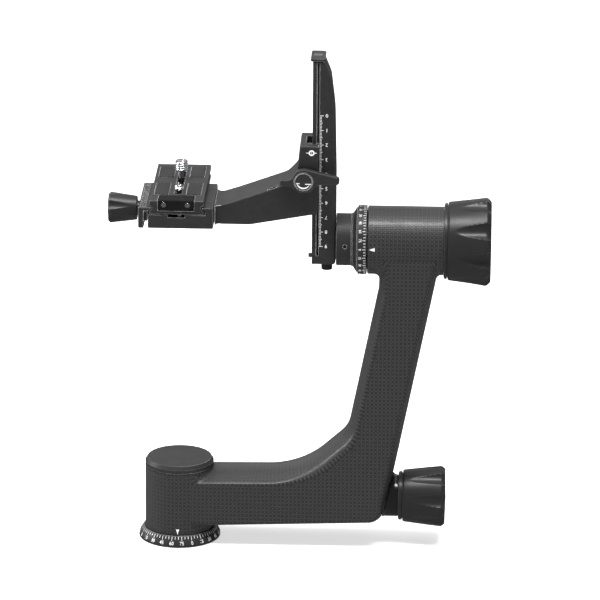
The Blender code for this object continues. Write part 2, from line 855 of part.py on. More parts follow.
def make_stop_block():
    """The anti-twist block at the plate's front edge, held by two screws."""
    block = slab(
        "lens_stop_block",
        rounded(rectangle(-12.0, 11.3, 238.65, 245.9, 1.0), 4),
        "XZ",
        PLATE_FRONT - 1.2,
        -17.25,
        "rubber_black",
        bevel=0.4,
    )
    for name, x in zip(("stop_block_screw_left", "stop_block_screw_right"), STOP_SCREW_X):
        bore(block, "Y", (x, 0, STOP_SCREW_Z), 2.1, -40, -10, step=(1.3, -28.2))
        screw(name, "Y", (x, -30.1, STOP_SCREW_Z), 1, (1.8, 1.5), (0.95, 16.2), "chrome")


def make_camera_screw(name, washer, y, top, thread_start, thread_radius):
    """A screw that stands in the plate's slot, held from below by its flanged head."""
    centre = (0, y, 0)
    turned(
        name,
        [
            (0, 236.9),
            (2.4, 236.9),
            (2.4, 236.3),
            (4.4, 236.3),
            (4.6, 236.6),
            (4.6, 239.2),
            (1.7, 239.2),
            (1.7, thread_start),
            (2.5, thread_start),
            (thread_radius, thread_start + 0.5),
            (thread_radius, top - 0.6),
            (2.5, top),
            (0, top),
        ],
        "Z",
        centre,
        "chrome",
        20,
    )
    ring(washer, "Z", centre, 2.1, 4.9, 239.5, 240.3, "steel", 20, 0)


clear_scene()
make_base()
make_pan_unit()
make_pan_lock()
make_arm()
make_tilt_unit()
make_rail()
make_stop_button()
make_cradle()
make_lock_lever()
make_clamp()
make_moving_jaw()
make_clamp_knob()
make_plate()
make_stop_block()
make_camera_screw("camera_screw_rear", "screw_washer_rear", 24.7, 257.9, 250.7, 4.45)
make_camera_screw("camera_screw_front", "screw_washer_front", -3.5, 248.8, 245.9, 3.15)
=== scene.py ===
"""The finished look of an alt-azimuth gimbal mount: woven carbon arm, black anodised rail
and clamp, fluted knobs, engraved dials and scale, on a plain pale floor.

Shapes are made in millimetres and turned into metres as each mesh is made.
"""

import json
import math

import bmesh
import bpy
from mathutils import Matrix, Vector


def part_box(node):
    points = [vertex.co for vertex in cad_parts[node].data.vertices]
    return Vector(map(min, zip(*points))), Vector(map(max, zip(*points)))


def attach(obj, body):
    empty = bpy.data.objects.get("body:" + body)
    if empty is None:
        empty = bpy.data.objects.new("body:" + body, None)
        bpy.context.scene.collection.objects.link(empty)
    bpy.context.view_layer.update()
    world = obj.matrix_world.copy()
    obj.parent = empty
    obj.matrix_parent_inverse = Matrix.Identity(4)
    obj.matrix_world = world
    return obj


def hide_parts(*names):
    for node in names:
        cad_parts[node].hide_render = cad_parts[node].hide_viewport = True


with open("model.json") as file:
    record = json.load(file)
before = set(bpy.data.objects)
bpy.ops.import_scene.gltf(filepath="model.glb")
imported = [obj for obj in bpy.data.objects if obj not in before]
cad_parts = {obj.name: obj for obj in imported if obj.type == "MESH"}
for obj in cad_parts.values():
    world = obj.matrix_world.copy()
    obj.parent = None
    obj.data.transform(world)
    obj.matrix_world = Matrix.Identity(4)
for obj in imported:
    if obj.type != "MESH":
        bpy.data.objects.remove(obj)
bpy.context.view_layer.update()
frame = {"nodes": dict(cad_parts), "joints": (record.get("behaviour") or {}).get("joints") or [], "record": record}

MM = 0.001
TOW = 1.35  # width of one tow of the carbon weave
INK = 0.035  # how far paint stands proud of an engraved face

SLOT_OF = {part["node"]: part["material_slot"] for part in frame["record"]["subparts"]}


def span(node):
    """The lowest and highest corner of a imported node, in millimetres."""
    low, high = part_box(node)
    return low / MM, high / MM


def level(node):
    """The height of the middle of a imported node, in millimetres."""
    low, high = span(node)
    return (low.z + high.z) / 2


def pivot(joint):
    """The point of a joint's axis, in millimetres."""
    found = next(item for item in frame["joints"] if item["name"] == joint)
    return Vector(found["pos_m"]) / MM


PAN = (0, 0, 0)
TILT = (0, 0, pivot("tilt_turn").z)
LOCK = (0, 0, pivot("pan_lock_turn").z)
CLAMP = (0, 0, pivot("clamp_knob_turn").z)
LEVER = (pivot("lever_turn").x, 0, pivot("lever_turn").z)


# ---------------------------------------------------------------- shader groups


def add(tree, kind, inputs=None, **settings):
    """A node with these settings. inputs holds numbers or sockets, by name or number."""
    made = tree.nodes.new(kind)
    for name, value in settings.items():
        setattr(made, name, value)
    for name, value in (inputs or {}).items():
        if isinstance(value, bpy.types.NodeSocket):
            tree.links.new(value, made.inputs[name])
        else:
            made.inputs[name].default_value = value
    return made


def calc(tree, operation, *values):
    """The result of a Math node."""
    return add(tree, "ShaderNodeMath", dict(enumerate(values)), operation=operation).outputs[0]


def remap(tree, value, low, high, to_low=0.0, to_high=1.0):
    inputs = {0: value, 1: low, 2: high, 3: to_low, 4: to_high}
    return add(tree, "ShaderNodeMapRange", inputs, clamp=True).outputs[0]


def new_group(name, inputs, outputs):
    """A shader group with float sockets. Returns its tree, input and output sockets."""
    tree = bpy.data.node_groups.new(name, "ShaderNodeTree")
    for label, value in inputs.items():
        socket = tree.interface.new_socket(label, in_out="INPUT", socket_type="NodeSocketFloat")
        socket.default_value = value
    for label in outputs:
        tree.interface.new_socket(label, in_out="OUTPUT", socket_type="NodeSocketFloat")
    return tree, tree.nodes.new("NodeGroupInput").outputs, tree.nodes.new("NodeGroupOutput").inputs


def use(tree, group, **values):
    """Places a group in a tree, with its own values."""
    made = add(tree, "ShaderNodeGroup", node_tree=group)
    for name, value in values.items():
        made.inputs[name.replace("_", " ")].default_value = value
    return made.outputs


def noise(tree, size, detail=2.0, roughness=0.5, stretch=(1, 1, 1)):
    """Smooth noise fixed to the piece, with features about size millimetres wide."""
    place = add(tree, "ShaderNodeTexCoord").outputs["Object"]
    scaled = add(tree, "ShaderNodeVectorMath", {0: place, 1: stretch}, operation="MULTIPLY")
    scale = calc(tree, "DIVIDE", 1 / MM, size)
    inputs = {"Vector": scaled.outputs[0], "Scale": scale, "Detail": detail, "Roughness": roughness}
    return add(tree, "ShaderNodeTexNoise", inputs).outputs["Fac"]


def edge_group():
    """A painted highlight along outside edges, partly also wear where an edge has lost its finish."""
    tree, given, out = new_group("painted_edge_highlight_and_wear", {"Radius": 0.4, "Amount": 1.0}, ["Edge"])
    radius = calc(tree, "MULTIPLY", given["Radius"], MM)
    rounded_normal = add(tree, "ShaderNodeBevel", {"Radius": radius}, samples=4).outputs[0]
    true_normal = add(tree, "ShaderNodeNewGeometry").outputs["Normal"]
    vectors = {0: rounded_normal, 1: true_normal}
    along = add(tree, "ShaderNodeVectorMath", vectors, operation="DOT_PRODUCT").outputs["Value"]
    edge = remap(tree, along, 0.995, 0.86)
    patchy = remap(tree, noise(tree, 2.2, 4.0), 0.3, 0.62, 0.45, 1.0)
    # the painted edge highlight, partly also wear, broken into patches
    worn = calc(tree, "MULTIPLY", edge, patchy)
    tree.links.new(calc(tree, "MULTIPLY", worn, given["Amount"]), out["Edge"])
    return tree


def grain_group():
    """Blasted or moulded grain: a height for bump, and a tone that varies slowly."""
    tree, given, out = new_group("fine_grain", {"Size": 0.25}, ["Height", "Tone"])
    fine = noise(tree, given["Size"], 3.0, 0.6)
    tree.links.new(fine, out["Height"])
    slow = noise(tree, calc(tree, "MULTIPLY", given["Size"], 14.0), 2.0)
    tree.links.new(slow, out["Tone"])
    return tree


def smudge_group():
    """Soft patches from handling, and faint dust."""
    tree, given, out = new_group("handling", {"Size": 18.0}, ["Smudge", "Dust"])
    patches = remap(tree, noise(tree, given["Size"], 3.0, 0.55), 0.38, 0.66)
    tree.links.new(patches, out["Smudge"])
    specks = remap(tree, noise(tree, 0.55, 1.0), 0.72, 0.80)
    tree.links.new(specks, out["Dust"])
    return tree


def weave_group():
    """Plain carbon weave over the surface's own millimetres: crowned tows, crossing over
    and under. Lay is 1 where the tow along the first direction is on top."""
    tree, given, out = new_group("carbon_weave", {"Tow": TOW}, ["Height", "Lay", "Strand", "Full tow"])
    surface = add(tree, "ShaderNodeUVMap", uv_map="surface").outputs[0]
    parts = add(tree, "ShaderNodeSeparateXYZ", {0: surface}).outputs
    across, up = (calc(tree, "DIVIDE", parts[k], given["Tow"]) for k in (0, 1))
    cells = [calc(tree, "FLOOR", value) for value in (across, up)]
    lay = calc(tree, "PINGPONG", calc(tree, "ADD", *cells), 1.0)
    even = [calc(tree, "PINGPONG", value, 1.0) for value in cells]
    halves = [calc(tree, "MULTIPLY", value, math.pi) for value in (across, up)]
    waves = [calc(tree, "ABSOLUTE", calc(tree, "SINE", value)) for value in halves]
    first = calc(tree, "MULTIPLY", calc(tree, "POWER", waves[1], 0.6), calc(tree, "POWER", waves[0], 0.25))
    second = calc(tree, "MULTIPLY", calc(tree, "POWER", waves[0], 0.6), calc(tree, "POWER", waves[1], 0.25))
    kept = calc(tree, "MULTIPLY", first, lay)
    other = calc(tree, "MULTIPLY", second, calc(tree, "SUBTRACT", 1.0, lay))
    tree.links.new(calc(tree, "ADD", kept, other), out["Height"])
    tree.links.new(lay, out["Lay"])
    strands = []
    for stretch in ((1.0, 16.0, 1.0), (16.0, 1.0, 1.0)):
        scaled = add(tree, "ShaderNodeVectorMath", {0: surface, 1: stretch}, operation="MULTIPLY")
        inputs = {"Vector": scaled.outputs[0], "Scale": 0.55, "Detail": 2.0}
        strands.append(add(tree, "ShaderNodeTexNoise", inputs).outputs["Fac"])
    mixed = add(tree, "ShaderNodeMix", {0: lay, 2: strands[1], 3: strands[0]}).outputs[0]
    tree.links.new(mixed, out["Strand"])
    tree.links.new(calc(tree, "MULTIPLY", *even), out["Full tow"])
    return tree


def lathe_group():
    """Fine rings left by turning, across the surface's second direction."""
    tree, given, out = new_group("turning_rings", {"Pitch": 0.18}, ["Height"])
    surface = add(tree, "ShaderNodeUVMap", uv_map="surface").outputs[0]
    along = add(tree, "ShaderNodeSeparateXYZ", {0: surface}).outputs[1]
    place = calc(tree, "DIVIDE", along, given["Pitch"])
    rings = add(tree, "ShaderNodeTexNoise", {"W": place, "Scale": 1.0, "Detail": 2.0}, noise_dimensions="1D")
    tree.links.new(rings.outputs["Fac"], out["Height"])
    return tree


EDGE_HIGHLIGHT_AND_WEAR = edge_group()
GRAIN = grain_group()
HANDLING = smudge_group()
WEAVE = weave_group()
RINGS = lathe_group()


# ---------------------------------------------------------------- materials


def new_material(name, **values):
    """A material whose Principled shader has these constant values."""
    made = bpy.data.materials.new(name)
    made.use_nodes = True
    tree = made.node_tree
    shader = tree.nodes["Principled BSDF"]
    for label, value in values.items():
        shader.inputs[label.replace("_", " ")].default_value = value
    return made, tree, shader.inputs


def grey(value, warmth=0.0):
    return (value * (1 + warmth), value, value * (1 - warmth), 1.0)


def tint(tree, mask, low, high, target):
    """Feeds a colour between two colours by a mask."""
    colours = {0: mask, 6: low, 7: high}
    tree.links.new(add(tree, "ShaderNodeMix", colours, data_type="RGBA").outputs[2], target)


def raise_surface(tree, height, target, distance, strength=1.0):
    """Feeds a bump of this height in millimetres into a normal socket."""
    inputs = {"Height": height, "Distance": distance * MM, "Strength": strength}
    tree.links.new(add(tree, "ShaderNodeBump", inputs).outputs[0], target)


def carbon():
    """Woven carbon under a satin clear coat."""
    made, tree, sockets = new_material("carbon_weave", Coat_Roughness=0.22, Specular_IOR_Level=0.3)
    weave = use(tree, WEAVE)
    handled = use(tree, HANDLING)
    thread = remap(tree, weave["Strand"], 0.3, 0.7, -0.22, 0.22)
    tone = calc(tree, "ADD", remap(tree, weave["Lay"], 0, 1, 0.12, 0.62), thread)
    tone = calc(tree, "ADD", tone, calc(tree, "MULTIPLY", weave["Full tow"], 0.35))
    valley = remap(tree, weave["Height"], 0.0, 0.75)
    shade = calc(tree, "MULTIPLY", calc(tree, "MAXIMUM", tone, 0.0), valley)
    tint(tree, shade, grey(0.014), grey(0.060), sockets["Base Color"])
    rough = remap(tree, weave["Lay"], 0, 1, 0.34, 0.48)
    worn = calc(tree, "MULTIPLY", handled["Smudge"], 0.06)
    tree.links.new(calc(tree, "ADD", rough, worn), sockets["Roughness"])
    tree.links.new(remap(tree, handled["Smudge"], 0, 1, 0.22, 0.14), sockets["Coat Weight"])
    raise_surface(tree, weave["Height"], sockets["Normal"], 0.08)
    return made


def anodised(name, dark, edge, rough, grain=0.22, grain_height=0.006, edge_highlight_and_wear=1.0, shine=0.32):
    """Blasted and anodised aluminium, painted lighter along its machined edges: a painted highlight, partly also
    wear.
    """
    made, tree, sockets = new_material(name, Specular_IOR_Level=shine)
    texture = use(tree, GRAIN, Size=grain)
    handled = use(tree, HANDLING, Size=22.0)
    # the mask of the painted edge highlight, partly also wear
    edges = use(tree, EDGE_HIGHLIGHT_AND_WEAR, Radius=0.45, Amount=edge_highlight_and_wear)
    tone = calc(tree, "MULTIPLY", texture["Tone"], 0.012)
    dust = calc(tree, "MULTIPLY", handled["Dust"], 0.03)
    mask = calc(tree, "ADD", calc(tree, "ADD", edges["Edge"], tone), dust)
    # grey(edge) is the colour of the painted edge highlight and wear, also taken by dust and grain tone
    tint(tree, mask, grey(dark), grey(edge), sockets["Base Color"])
    softened = calc(tree, "MULTIPLY", handled["Smudge"], 0.07)
    grained = remap(tree, texture["Height"], 0.3, 0.7, rough, rough + 0.06)
    tree.links.new(calc(tree, "ADD", grained, softened), sockets["Roughness"])
    raise_surface(tree, texture["Height"], sockets["Normal"], grain_height)
    return made


def ringed_metal(name, colour, rough, metallic=1.0, pitch=0.18, depth=0.004):
    """Bare or plated metal with fine turning rings."""
    made, tree, sockets = new_material(name, Metallic=metallic)
    rings = use(tree, RINGS, Pitch=pitch)
    handled = use(tree, HANDLING, Size=6.0)
    bright = tuple(min(1.0, part * 1.08) for part in colour[:3]) + (1.0,)
    dull = tuple(part * 0.86 for part in colour[:3]) + (1.0,)
    tint(tree, handled["Smudge"], dull, bright, sockets["Base Color"])
    tree.links.new(remap(tree, rings["Height"], 0.3, 0.7, rough, rough + 0.1), sockets["Roughness"])
    raise_surface(tree, rings["Height"], sockets["Normal"], depth)
    return made


def soft_black(name, dark, light, rough, grain, grain_height, shine=0.3):
    """Rubber and plain plastic: matt, with a moulded grain."""
    made, tree, sockets = new_material(name, Specular_IOR_Level=shine)
    texture = use(tree, GRAIN, Size=grain)
    handled = use(tree, HANDLING, Size=9.0)
    tone = calc(tree, "ADD", texture["Tone"], handled["Dust"])
    tint(tree, tone, grey(dark), grey(light), sockets["Base Color"])
    tree.links.new(remap(tree, texture["Height"], 0.3, 0.7, rough - 0.06, rough + 0.06), sockets["Roughness"])
    raise_surface(tree, texture["Height"], sockets["Normal"], grain_height)
    return made


def paint():
    """Filled engraving: off-white, slightly uneven."""
    made, tree, sockets = new_material("engraving_paint")
    texture = use(tree, GRAIN, Size=0.3)
    tint(tree, texture["Tone"], grey(0.72), grey(0.90), sockets["Base Color"])
    tree.links.new(remap(tree, texture["Height"], 0.3, 0.7, 0.45, 0.6), sockets["Roughness"])
    return made


LOOKS = {
    "carbon": carbon(),
    # the second grey of each anodised look is the painted edge highlight, partly also wear
    "black_anodised": anodised("black_anodised", 0.018, 0.80, 0.40, shine=0.26),
    "knob_black": anodised("knob_black", 0.017, 0.20, 0.31, grain=0.35, edge_highlight_and_wear=0.4),
    "gloss_black": anodised("gloss_black", 0.008, 0.12, 0.17, 0.8, 0.002, 0.4, 0.5),
    "rubber_black": soft_black("rubber_black", 0.004, 0.010, 0.66, 0.5, 0.02, 0.12),
    "pad_grey": soft_black("pad_grey", 0.018, 0.030, 0.55, 0.9, 0.08),
    "chrome": ringed_metal("chrome", (0.62, 0.62, 0.64), 0.16, pitch=0.3, depth=0.0015),
    "steel": ringed_metal("turned_steel", (0.45, 0.45, 0.46), 0.28),
    "brass": ringed_metal("turned_brass", (0.55, 0.42, 0.18), 0.28),
    "brake_plastic": soft_black("brake_plastic", 0.42, 0.60, 0.55, 0.6, 0.01),
}
PAINT = paint()


# ---------------------------------------------------------------- outlines


def rounded(corners, segments=6, even=False):
    """A closed outline from (x, z, radius) corners, each rounded by an arc of its radius.
    even gives every arc the same number of points."""
    outline = []
    count = len(corners)
    for index, (x, z, radius) in enumerate(corners):
        here = Vector((x, z))
        before = Vector(corners[index - 1][:2]) - here
        after = Vector(corners[(index + 1) % count][:2]) - here
        if radius == 0:
            outline.append((x, z))
            continue
        a, b = before.normalized(), after.normalized()
        half = math.acos(max(-1, min(1, a.dot(b)))) / 2
        centre = here + (a + b).normalized() * radius / math.sin(half)
        start = here + a * radius / math.tan(half) - centre
        end = here + b * radius / math.tan(half) - centre
        sweep = math.atan2(start.x * end.y - start.y * end.x, start.dot(end))
        steps = segments if even else max(2, round(segments * abs(sweep) / (math.pi / 2)))
        for step in range(steps + 1):
            turn = sweep * step / steps
            c, s = math.cos(turn), math.sin(turn)
            outline.append(
                (centre.x + start.x * c - start.y * s, centre.y + start.x * s + start.y * c)
            )
    return outline


def grown(outline, amount):
    """The outline moved outwards by an amount, or by one for each point. It is listed
    anticlockwise."""
    moved = []
    count = len(outline)
    amounts = amount if isinstance(amount, list) else [amount] * count
    for index in range(count):
        before, here, after = (Vector(outline[(index + k) % count]) for k in (-1, 0, 1))
        first, second = (here - before).normalized(), (after - here).normalized()
        normal = Vector((first.y + second.y, -first.x - second.x)).normalized()
        reach = amounts[index] / max(0.5, normal.dot(Vector((first.y, -first.x))))
        moved.append((here.x + normal.x * reach, here.y + normal.y * reach))
    return moved


def rectangle(x0, x1, z0, z1, radius=0.0):
    return [(x0, z0, radius), (x1, z0, radius), (x1, z1, radius), (x0, z1, radius)]


def close_set(profile, step):
    """A profile with extra points, so that none are more than step apart."""
    points = []
    for (r0, a0), (r1, a1) in zip(profile, profile[1:] + profile[:1]):
        pieces = max(1, math.ceil(math.hypot(r1 - r0, a1 - a0) / step)) if r0 or r1 else 1
        points += [(r0 + (r1 - r0) * k / pieces, a0 + (a1 - a0) * k / pieces) for k in range(pieces)]
    return points


# ---------------------------------------------------------------- solids


def on_axis(axis, centre, radius, along, angle):
    """A point at this radius, distance and angle around an axis through the centre."""
    u, v = radius * math.cos(angle), radius * math.sin(angle)
    x, y, z = centre
    if axis == "X":
        return (x + along, y + u, z + v)
    if axis == "Y":
        return (x + v, y + along, z + u)
    return (x + u, y + v, z + along)


def turned(profile, axis, centre, segments=128, radius_at=None):
    """A turned solid. The profile lists (radius, distance along): a closed loop, or an open
    run whose two ends lie on the axis. radius_at may change a radius by angle."""
    shape = bmesh.new()
    surface = shape.loops.layers.uv.new("surface")
    rings, lengths, length = [], [], 0.0
    for index, (radius, along) in enumerate(profile):
        if index:
            length += math.dist(profile[index - 1], profile[index])
        lengths.append(length)
        if radius == 0:
            rings.append([shape.verts.new(on_axis(axis, centre, 0, along, 0))])
            continue
        ring = []
        for step in range(segments):
            angle = 2 * math.pi * step / segments
            r = radius_at(radius, along, angle) if radius_at else radius
            ring.append(shape.verts.new(on_axis(axis, centre, r, along, angle)))
        rings.append(ring)
    around = 2 * TOW * max(1, round(math.pi * max(radius for radius, _ in profile) / TOW))
    pairs = list(zip(rings, rings[1:], lengths, lengths[1:]))
    if len(rings[0]) > 1:
        pairs.append((rings[-1], rings[0], length, length + math.dist(profile[-1], profile[0])))
    for near, far, near_length, far_length in pairs:
        for step in range(segments):
            after = (step + 1) % segments
            u, w = around * step / segments, around * (step + 1) / segments
            corners = [
                (near[step % len(near)], u, near_length),
                (far[step % len(far)], u, far_length),
                (far[after % len(far)], w, far_length),
                (near[after % len(near)], w, near_length),
            ]
            if len(far) == 1:
                corners.pop(2)
            elif len(near) == 1:
                corners.pop(3)
            face = shape.faces.new([corner[0] for corner in corners])
            for loop, (_, x, y) in zip(face.loops, corners):
                loop[surface].uv = (x, y)
    return shape


def lofted(layers, plane):
    """A solid through layers of (distance, outline), closed at both ends. plane says what
    an outline's two numbers are: XZ stacks along Y, XY along Z and YZ along X."""
    place = {
        "XZ": lambda a, b, d: (a, d, b),
        "XY": lambda a, b, d: (a, b, d),
        "YZ": lambda a, b, d: (d, a, b),
    }[plane]
    shape = bmesh.new()
    surface = shape.loops.layers.uv.new("surface")
    rings = [[shape.verts.new(place(a, b, d)) for a, b in outline] for d, outline in layers]
    widest = max(layers, key=lambda layer: max(a for a, _ in layer[1]))[1]
    marks = [0.0]
    for first, second in zip(widest, widest[1:] + widest[:1]):
        marks.append(marks[-1] + math.dist(first, second))
    count = len(rings[0])
    for (near, first), (far, second) in zip(zip(layers, rings), zip(layers[1:], rings[1:])):
        for step in range(count):
            after = (step + 1) % count
            face = shape.faces.new([first[step], first[after], second[after], second[step]])
            places = [(step, near), (step + 1, near), (step + 1, far), (step, far)]
            for loop, (mark, layer) in zip(face.loops, places):
                loop[surface].uv = (marks[mark], layer[0])
    for ring, (_, outline) in ((rings[0], layers[0]), (rings[-1], layers[-1])):
        face = shape.faces.new(ring)
        for loop, point in zip(face.loops, outline):
            loop[surface].uv = point
    return shape


def slab(outline, plane, start, end, edge=0.0, steps=4):
    """A flat solid of constant outline, whose two faces have edges rounded by edge."""
    if not edge:
        return lofted([(start, outline), (end, outline)], plane)
    turns = [math.pi / 2 * k / steps for k in range(steps + 1)]
    small = [(edge * (1 - math.sin(t)), grown(outline, edge * (math.cos(t) - 1))) for t in reversed(turns)]
    layers = [(start + into, shape) for into, shape in small]
    layers += [(end - into, shape) for into, shape in reversed(small)]
    return lofted(layers, plane)


def box(low, high, radius=0.0):
    """A block, with its edges along Y rounded by radius."""
    outline = rounded(rectangle(low[0], high[0], low[2], high[2], radius), 5)
    return slab(outline, "XZ", low[1], high[1])


def drill(axis, centre, radius, start, end, step=None, segments=64):
    """The cutter for a round hole. step, a (radius, distance), changes its radius."""
    profile = [(0, start), (radius, start), (radius, end), (0, end)]
    if step:
        profile[2:3] = [(radius, step[1]), step, (step[0], end)]
    return turned(profile, axis, centre, segments)


def to_object(name, shape):
    bmesh.ops.recalc_face_normals(shape, faces=shape.faces)
    bmesh.ops.scale(shape, verts=shape.verts, vec=(MM, MM, MM))
    mesh = bpy.data.meshes.new(name)
    shape.to_mesh(mesh)
    shape.free()
    made = bpy.data.objects.new(name, mesh)
    bpy.context.scene.collection.objects.link(made)
    return made


def combine(target, tool, operation):
    """Applies a Boolean of the tool to the target, and removes the tool."""
    cutter = to_object("tool", tool)
    modifier = target.modifiers.new("tool", "BOOLEAN")
    modifier.operation = operation
    modifier.object = cutter
    modifier.solver = "EXACT"
    graph = bpy.context.evaluated_depsgraph_get()
    result = bpy.data.meshes.new_from_object(target.evaluated_get(graph))
    target.modifiers.clear()
    target.data = result
    bpy.data.objects.remove(cutter)


def piece(nodes, body, shape, cuts=(), joins=(), look=None, sharp=32):
    """Makes the finished piece that stands for these nodes and rides on this body."""
    nodes = [nodes] if isinstance(nodes, str) else nodes
    made = to_object(nodes[0] + "_finished", shape)
    for tool in joins:
        combine(made, tool, "UNION")
    for tool in cuts:
        combine(made, tool, "DIFFERENCE")
    mesh = made.data
    mesh.materials.clear()
    mesh.materials.append(look or LOOKS[SLOT_OF[nodes[0]]])
    mesh.shade_smooth()
    mesh.set_sharp_from_angle(angle=math.radians(sharp))
    weighted = made.modifiers.new("even_normals", "WEIGHTED_NORMAL")
    weighted.keep_sharp = True
    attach(made, body)
    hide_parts(*nodes)
    return made


# ---------------------------------------------------------------- turned details


def hexagonal(apothem):
    """Makes every ring inside the apothem a hexagon, for a socket."""
    sixth = math.pi / 3

    def radius_at(radius, along, angle):
        if radius > apothem + 1e-6:
            return radius
        return radius / math.cos(angle % sixth - sixth / 2)

    return radius_at


def threaded(radius, depth, pitch):
    """Cuts a V thread into every ring at this radius."""

    def radius_at(r, along, angle):
        if abs(r - radius) > 1e-6:
            return r
        phase = (along / pitch - angle / (2 * math.pi)) % 1
        return r - depth * (1 - abs(2 * phase - 1))

    return radius_at


def cap_screw(node, body, axis, centre, direction, head, shank, look=None):
    """A socket-head screw. It points along direction from the outer face of its head."""
    head_radius, head_length = head
    shank_radius, shank_length = shank
    socket = head_radius * 0.5
    profile = rounded([
        (0, head_length * 0.6, 0), (socket, head_length * 0.6, 0), (socket, 0, 0),
        (head_radius, 0, head_radius * 0.13), (head_radius, head_length, 0.1),
        (shank_radius, head_length, 0), (shank_radius, head_length + shank_length, 0.2),
        (0, head_length + shank_length, 0),
    ], 4)
    profile = [(radius, along * direction) for radius, along in profile]
    shape = turned(profile, axis, centre, 48, hexagonal(socket))
    return piece(node, body, shape, look=LOOKS.get(look))


def fluted(profile, centre, tip, end, count, half_width, depth, phase, sign=1):
    """A grip along X with scoops that start as points at tip and open towards end."""
    spacing = 2 * math.pi / count
    rim = max(radius for radius, _ in profile)

    def radius_at(radius, along, angle):
        reach = (along * sign - tip) / (end - tip)
        if reach <= 0 or radius < rim * 0.45:
            return radius
        reach = min(1.05, reach)
        offset = (angle - phase + spacing / 2) % spacing - spacing / 2
        width = half_width * reach**0.5
        scoop = max(0.0, 1 - (offset / width) ** 2) ** 0.8
        return radius - depth * reach * scoop * min(1.0, (radius / rim) ** 2)

    placed = [(radius, along * sign) for radius, along in close_set(profile, 0.7)]
    return turned(placed, "X", centre, count * 36, radius_at)


# ---------------------------------------------------------------- engraving


def glyphs(text, height):
    """The mesh of a number, centred, with a cap height in millimetres."""
    curve = bpy.data.curves.new("number", "FONT")
    curve.body = text
    curve.size = height * 1.4
    curve.align_x = "CENTER"
    curve.offset = 0.012 * height
    curve.extrude = 1.0
    curve.resolution_u = 3
    holder = bpy.data.objects.new("number", curve)
    bpy.context.scene.collection.objects.link(holder)
    graph = bpy.context.evaluated_depsgraph_get()
    mesh = bpy.data.meshes.new_from_object(holder.evaluated_get(graph))
    bpy.data.objects.remove(holder)
    return mesh


class Marks:
    """Paint-filled engraving. place(u, v, h) says where a point of the flat drawing lies,
    with h outwards from the surface."""

    def __init__(self):
        self.shape = bmesh.new()

    def number(self, text, height, place):
        mesh = glyphs(text, height)
        low = min(vertex.co.y for vertex in mesh.vertices)
        high = max(vertex.co.y for vertex in mesh.vertices)
        for vertex in mesh.vertices:
            u, v, side = vertex.co
            vertex.co = place(u, v - (low + high) / 2, INK if side > 0 else -INK)
        self.shape.from_mesh(mesh)
        bpy.data.meshes.remove(mesh)

    def patch(self, points, place):
        """A filled polygon of (u, v) points."""
        upper = [self.shape.verts.new(place(u, v, INK)) for u, v in points]
        lower = [self.shape.verts.new(place(u, v, -INK)) for u, v in points]
        self.shape.faces.new(upper)
        self.shape.faces.new(lower[::-1])
        for k in range(len(points)):
            after = (k + 1) % len(points)
            self.shape.faces.new([upper[after], upper[k], lower[k], lower[after]])

    def bar(self, u, v0, v1, width, place):
        half = width / 2
        self.patch([(u - half, v0), (u + half, v0), (u + half, v1), (u - half, v1)], place)

    def arc(self, radius, start, end, width, place, centre=(0, 0), steps=40, taper=0.0):
        """A band along an arc, in degrees. taper thins it towards its ends."""
        for k in range(steps):
            corners = []
            for turn, sides in ((k, (-1, 1)), (k + 1, (1, -1))):
                share = turn / steps
                angle = math.radians(start + (end - start) * share)
                half = width / 2 * (1 - taper * abs(2 * share - 1) ** 2)
                for side in sides:
                    r = radius + side * half
                    corners.append((centre[0] + r * math.cos(angle), centre[1] + r * math.sin(angle)))
            self.patch(corners, place)

    def finish(self, name, body):
        made = to_object(name, self.shape)
        bpy.context.view_layer.update()
        made.data.materials.clear()
        made.data.materials.append(PAINT)
        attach(made, body)
        return made


# ---------------------------------------------------------------- base and pan unit


def flare(z, rim, top):
    """The dial's radius at a height: upright at the foot, then curving in."""
    rise = max(0.0, (z - 1.6) / (top - 1.6))
    return rim - 3.2 * rise**1.35


def make_base():
    high = span("base_dial")[1]
    rim, top, hole = high.x, high.z, span("tripod_bush")[1].x + 0.1
    heights = [1.6 + (top - 0.3 - 1.6) * k / 10 for k in range(11)]
    side = [(flare(z, rim, top), z) for z in heights]
    profile = [(hole, 0.0), (rim - 5.0, 0.0), (rim - 4.8, 0.25), (rim - 3.6, 0.25), (rim - 3.4, 0.0)]
    profile += [(rim - 0.5, 0.0), (rim - 0.15, 0.15), (rim, 0.5)] + side
    profile += [(side[-1][0] - 0.3, top), (hole, top)]
    piece("base_dial", "base", turned(profile, "Z", PAN, 192))
    marks = Marks()
    zero = math.radians(-68.3)
    for degree in range(0, 360, 5):
        long = degree % 15 == 0
        angle = zero + math.radians(degree)
        place = cone_place(angle, rim, top)
        marks.bar(0, 4.7 if long else 5.5, 7.0, 0.34, place)
        if long:
            lift = cone_place(angle, rim, top, 3.05)
            marks.number(str(degree % 90), 2.2, lift)
    marks.finish("pan_scale", "base")


def cone_place(angle, rim, top, lift=0.0):
    """Places a drawing on the flared dial: u runs round it and v is the height."""

    def place(u, v, h):
        z = v + lift
        radius = flare(z, rim, top) + h
        turn = angle + u / rim
        return (radius * math.sin(turn), -radius * math.cos(turn), z + h * 0.5)

    return place


def make_bush():
    high = span("tripod_bush")[1]
    bore = 4.35
    profile = [(bore + 0.5, 0.0), (high.x - 0.3, 0.0), (high.x, 0.3), (high.x, high.z), (bore, high.z)]
    wall = [(bore, high.z - 0.1 * k) for k in range(1, int((high.z - 0.5) / 0.1))]
    shape = turned(profile + wall, "Z", PAN, 96, threaded(bore, -0.45, 1.5875))
    piece("tripod_bush", "base", shape)


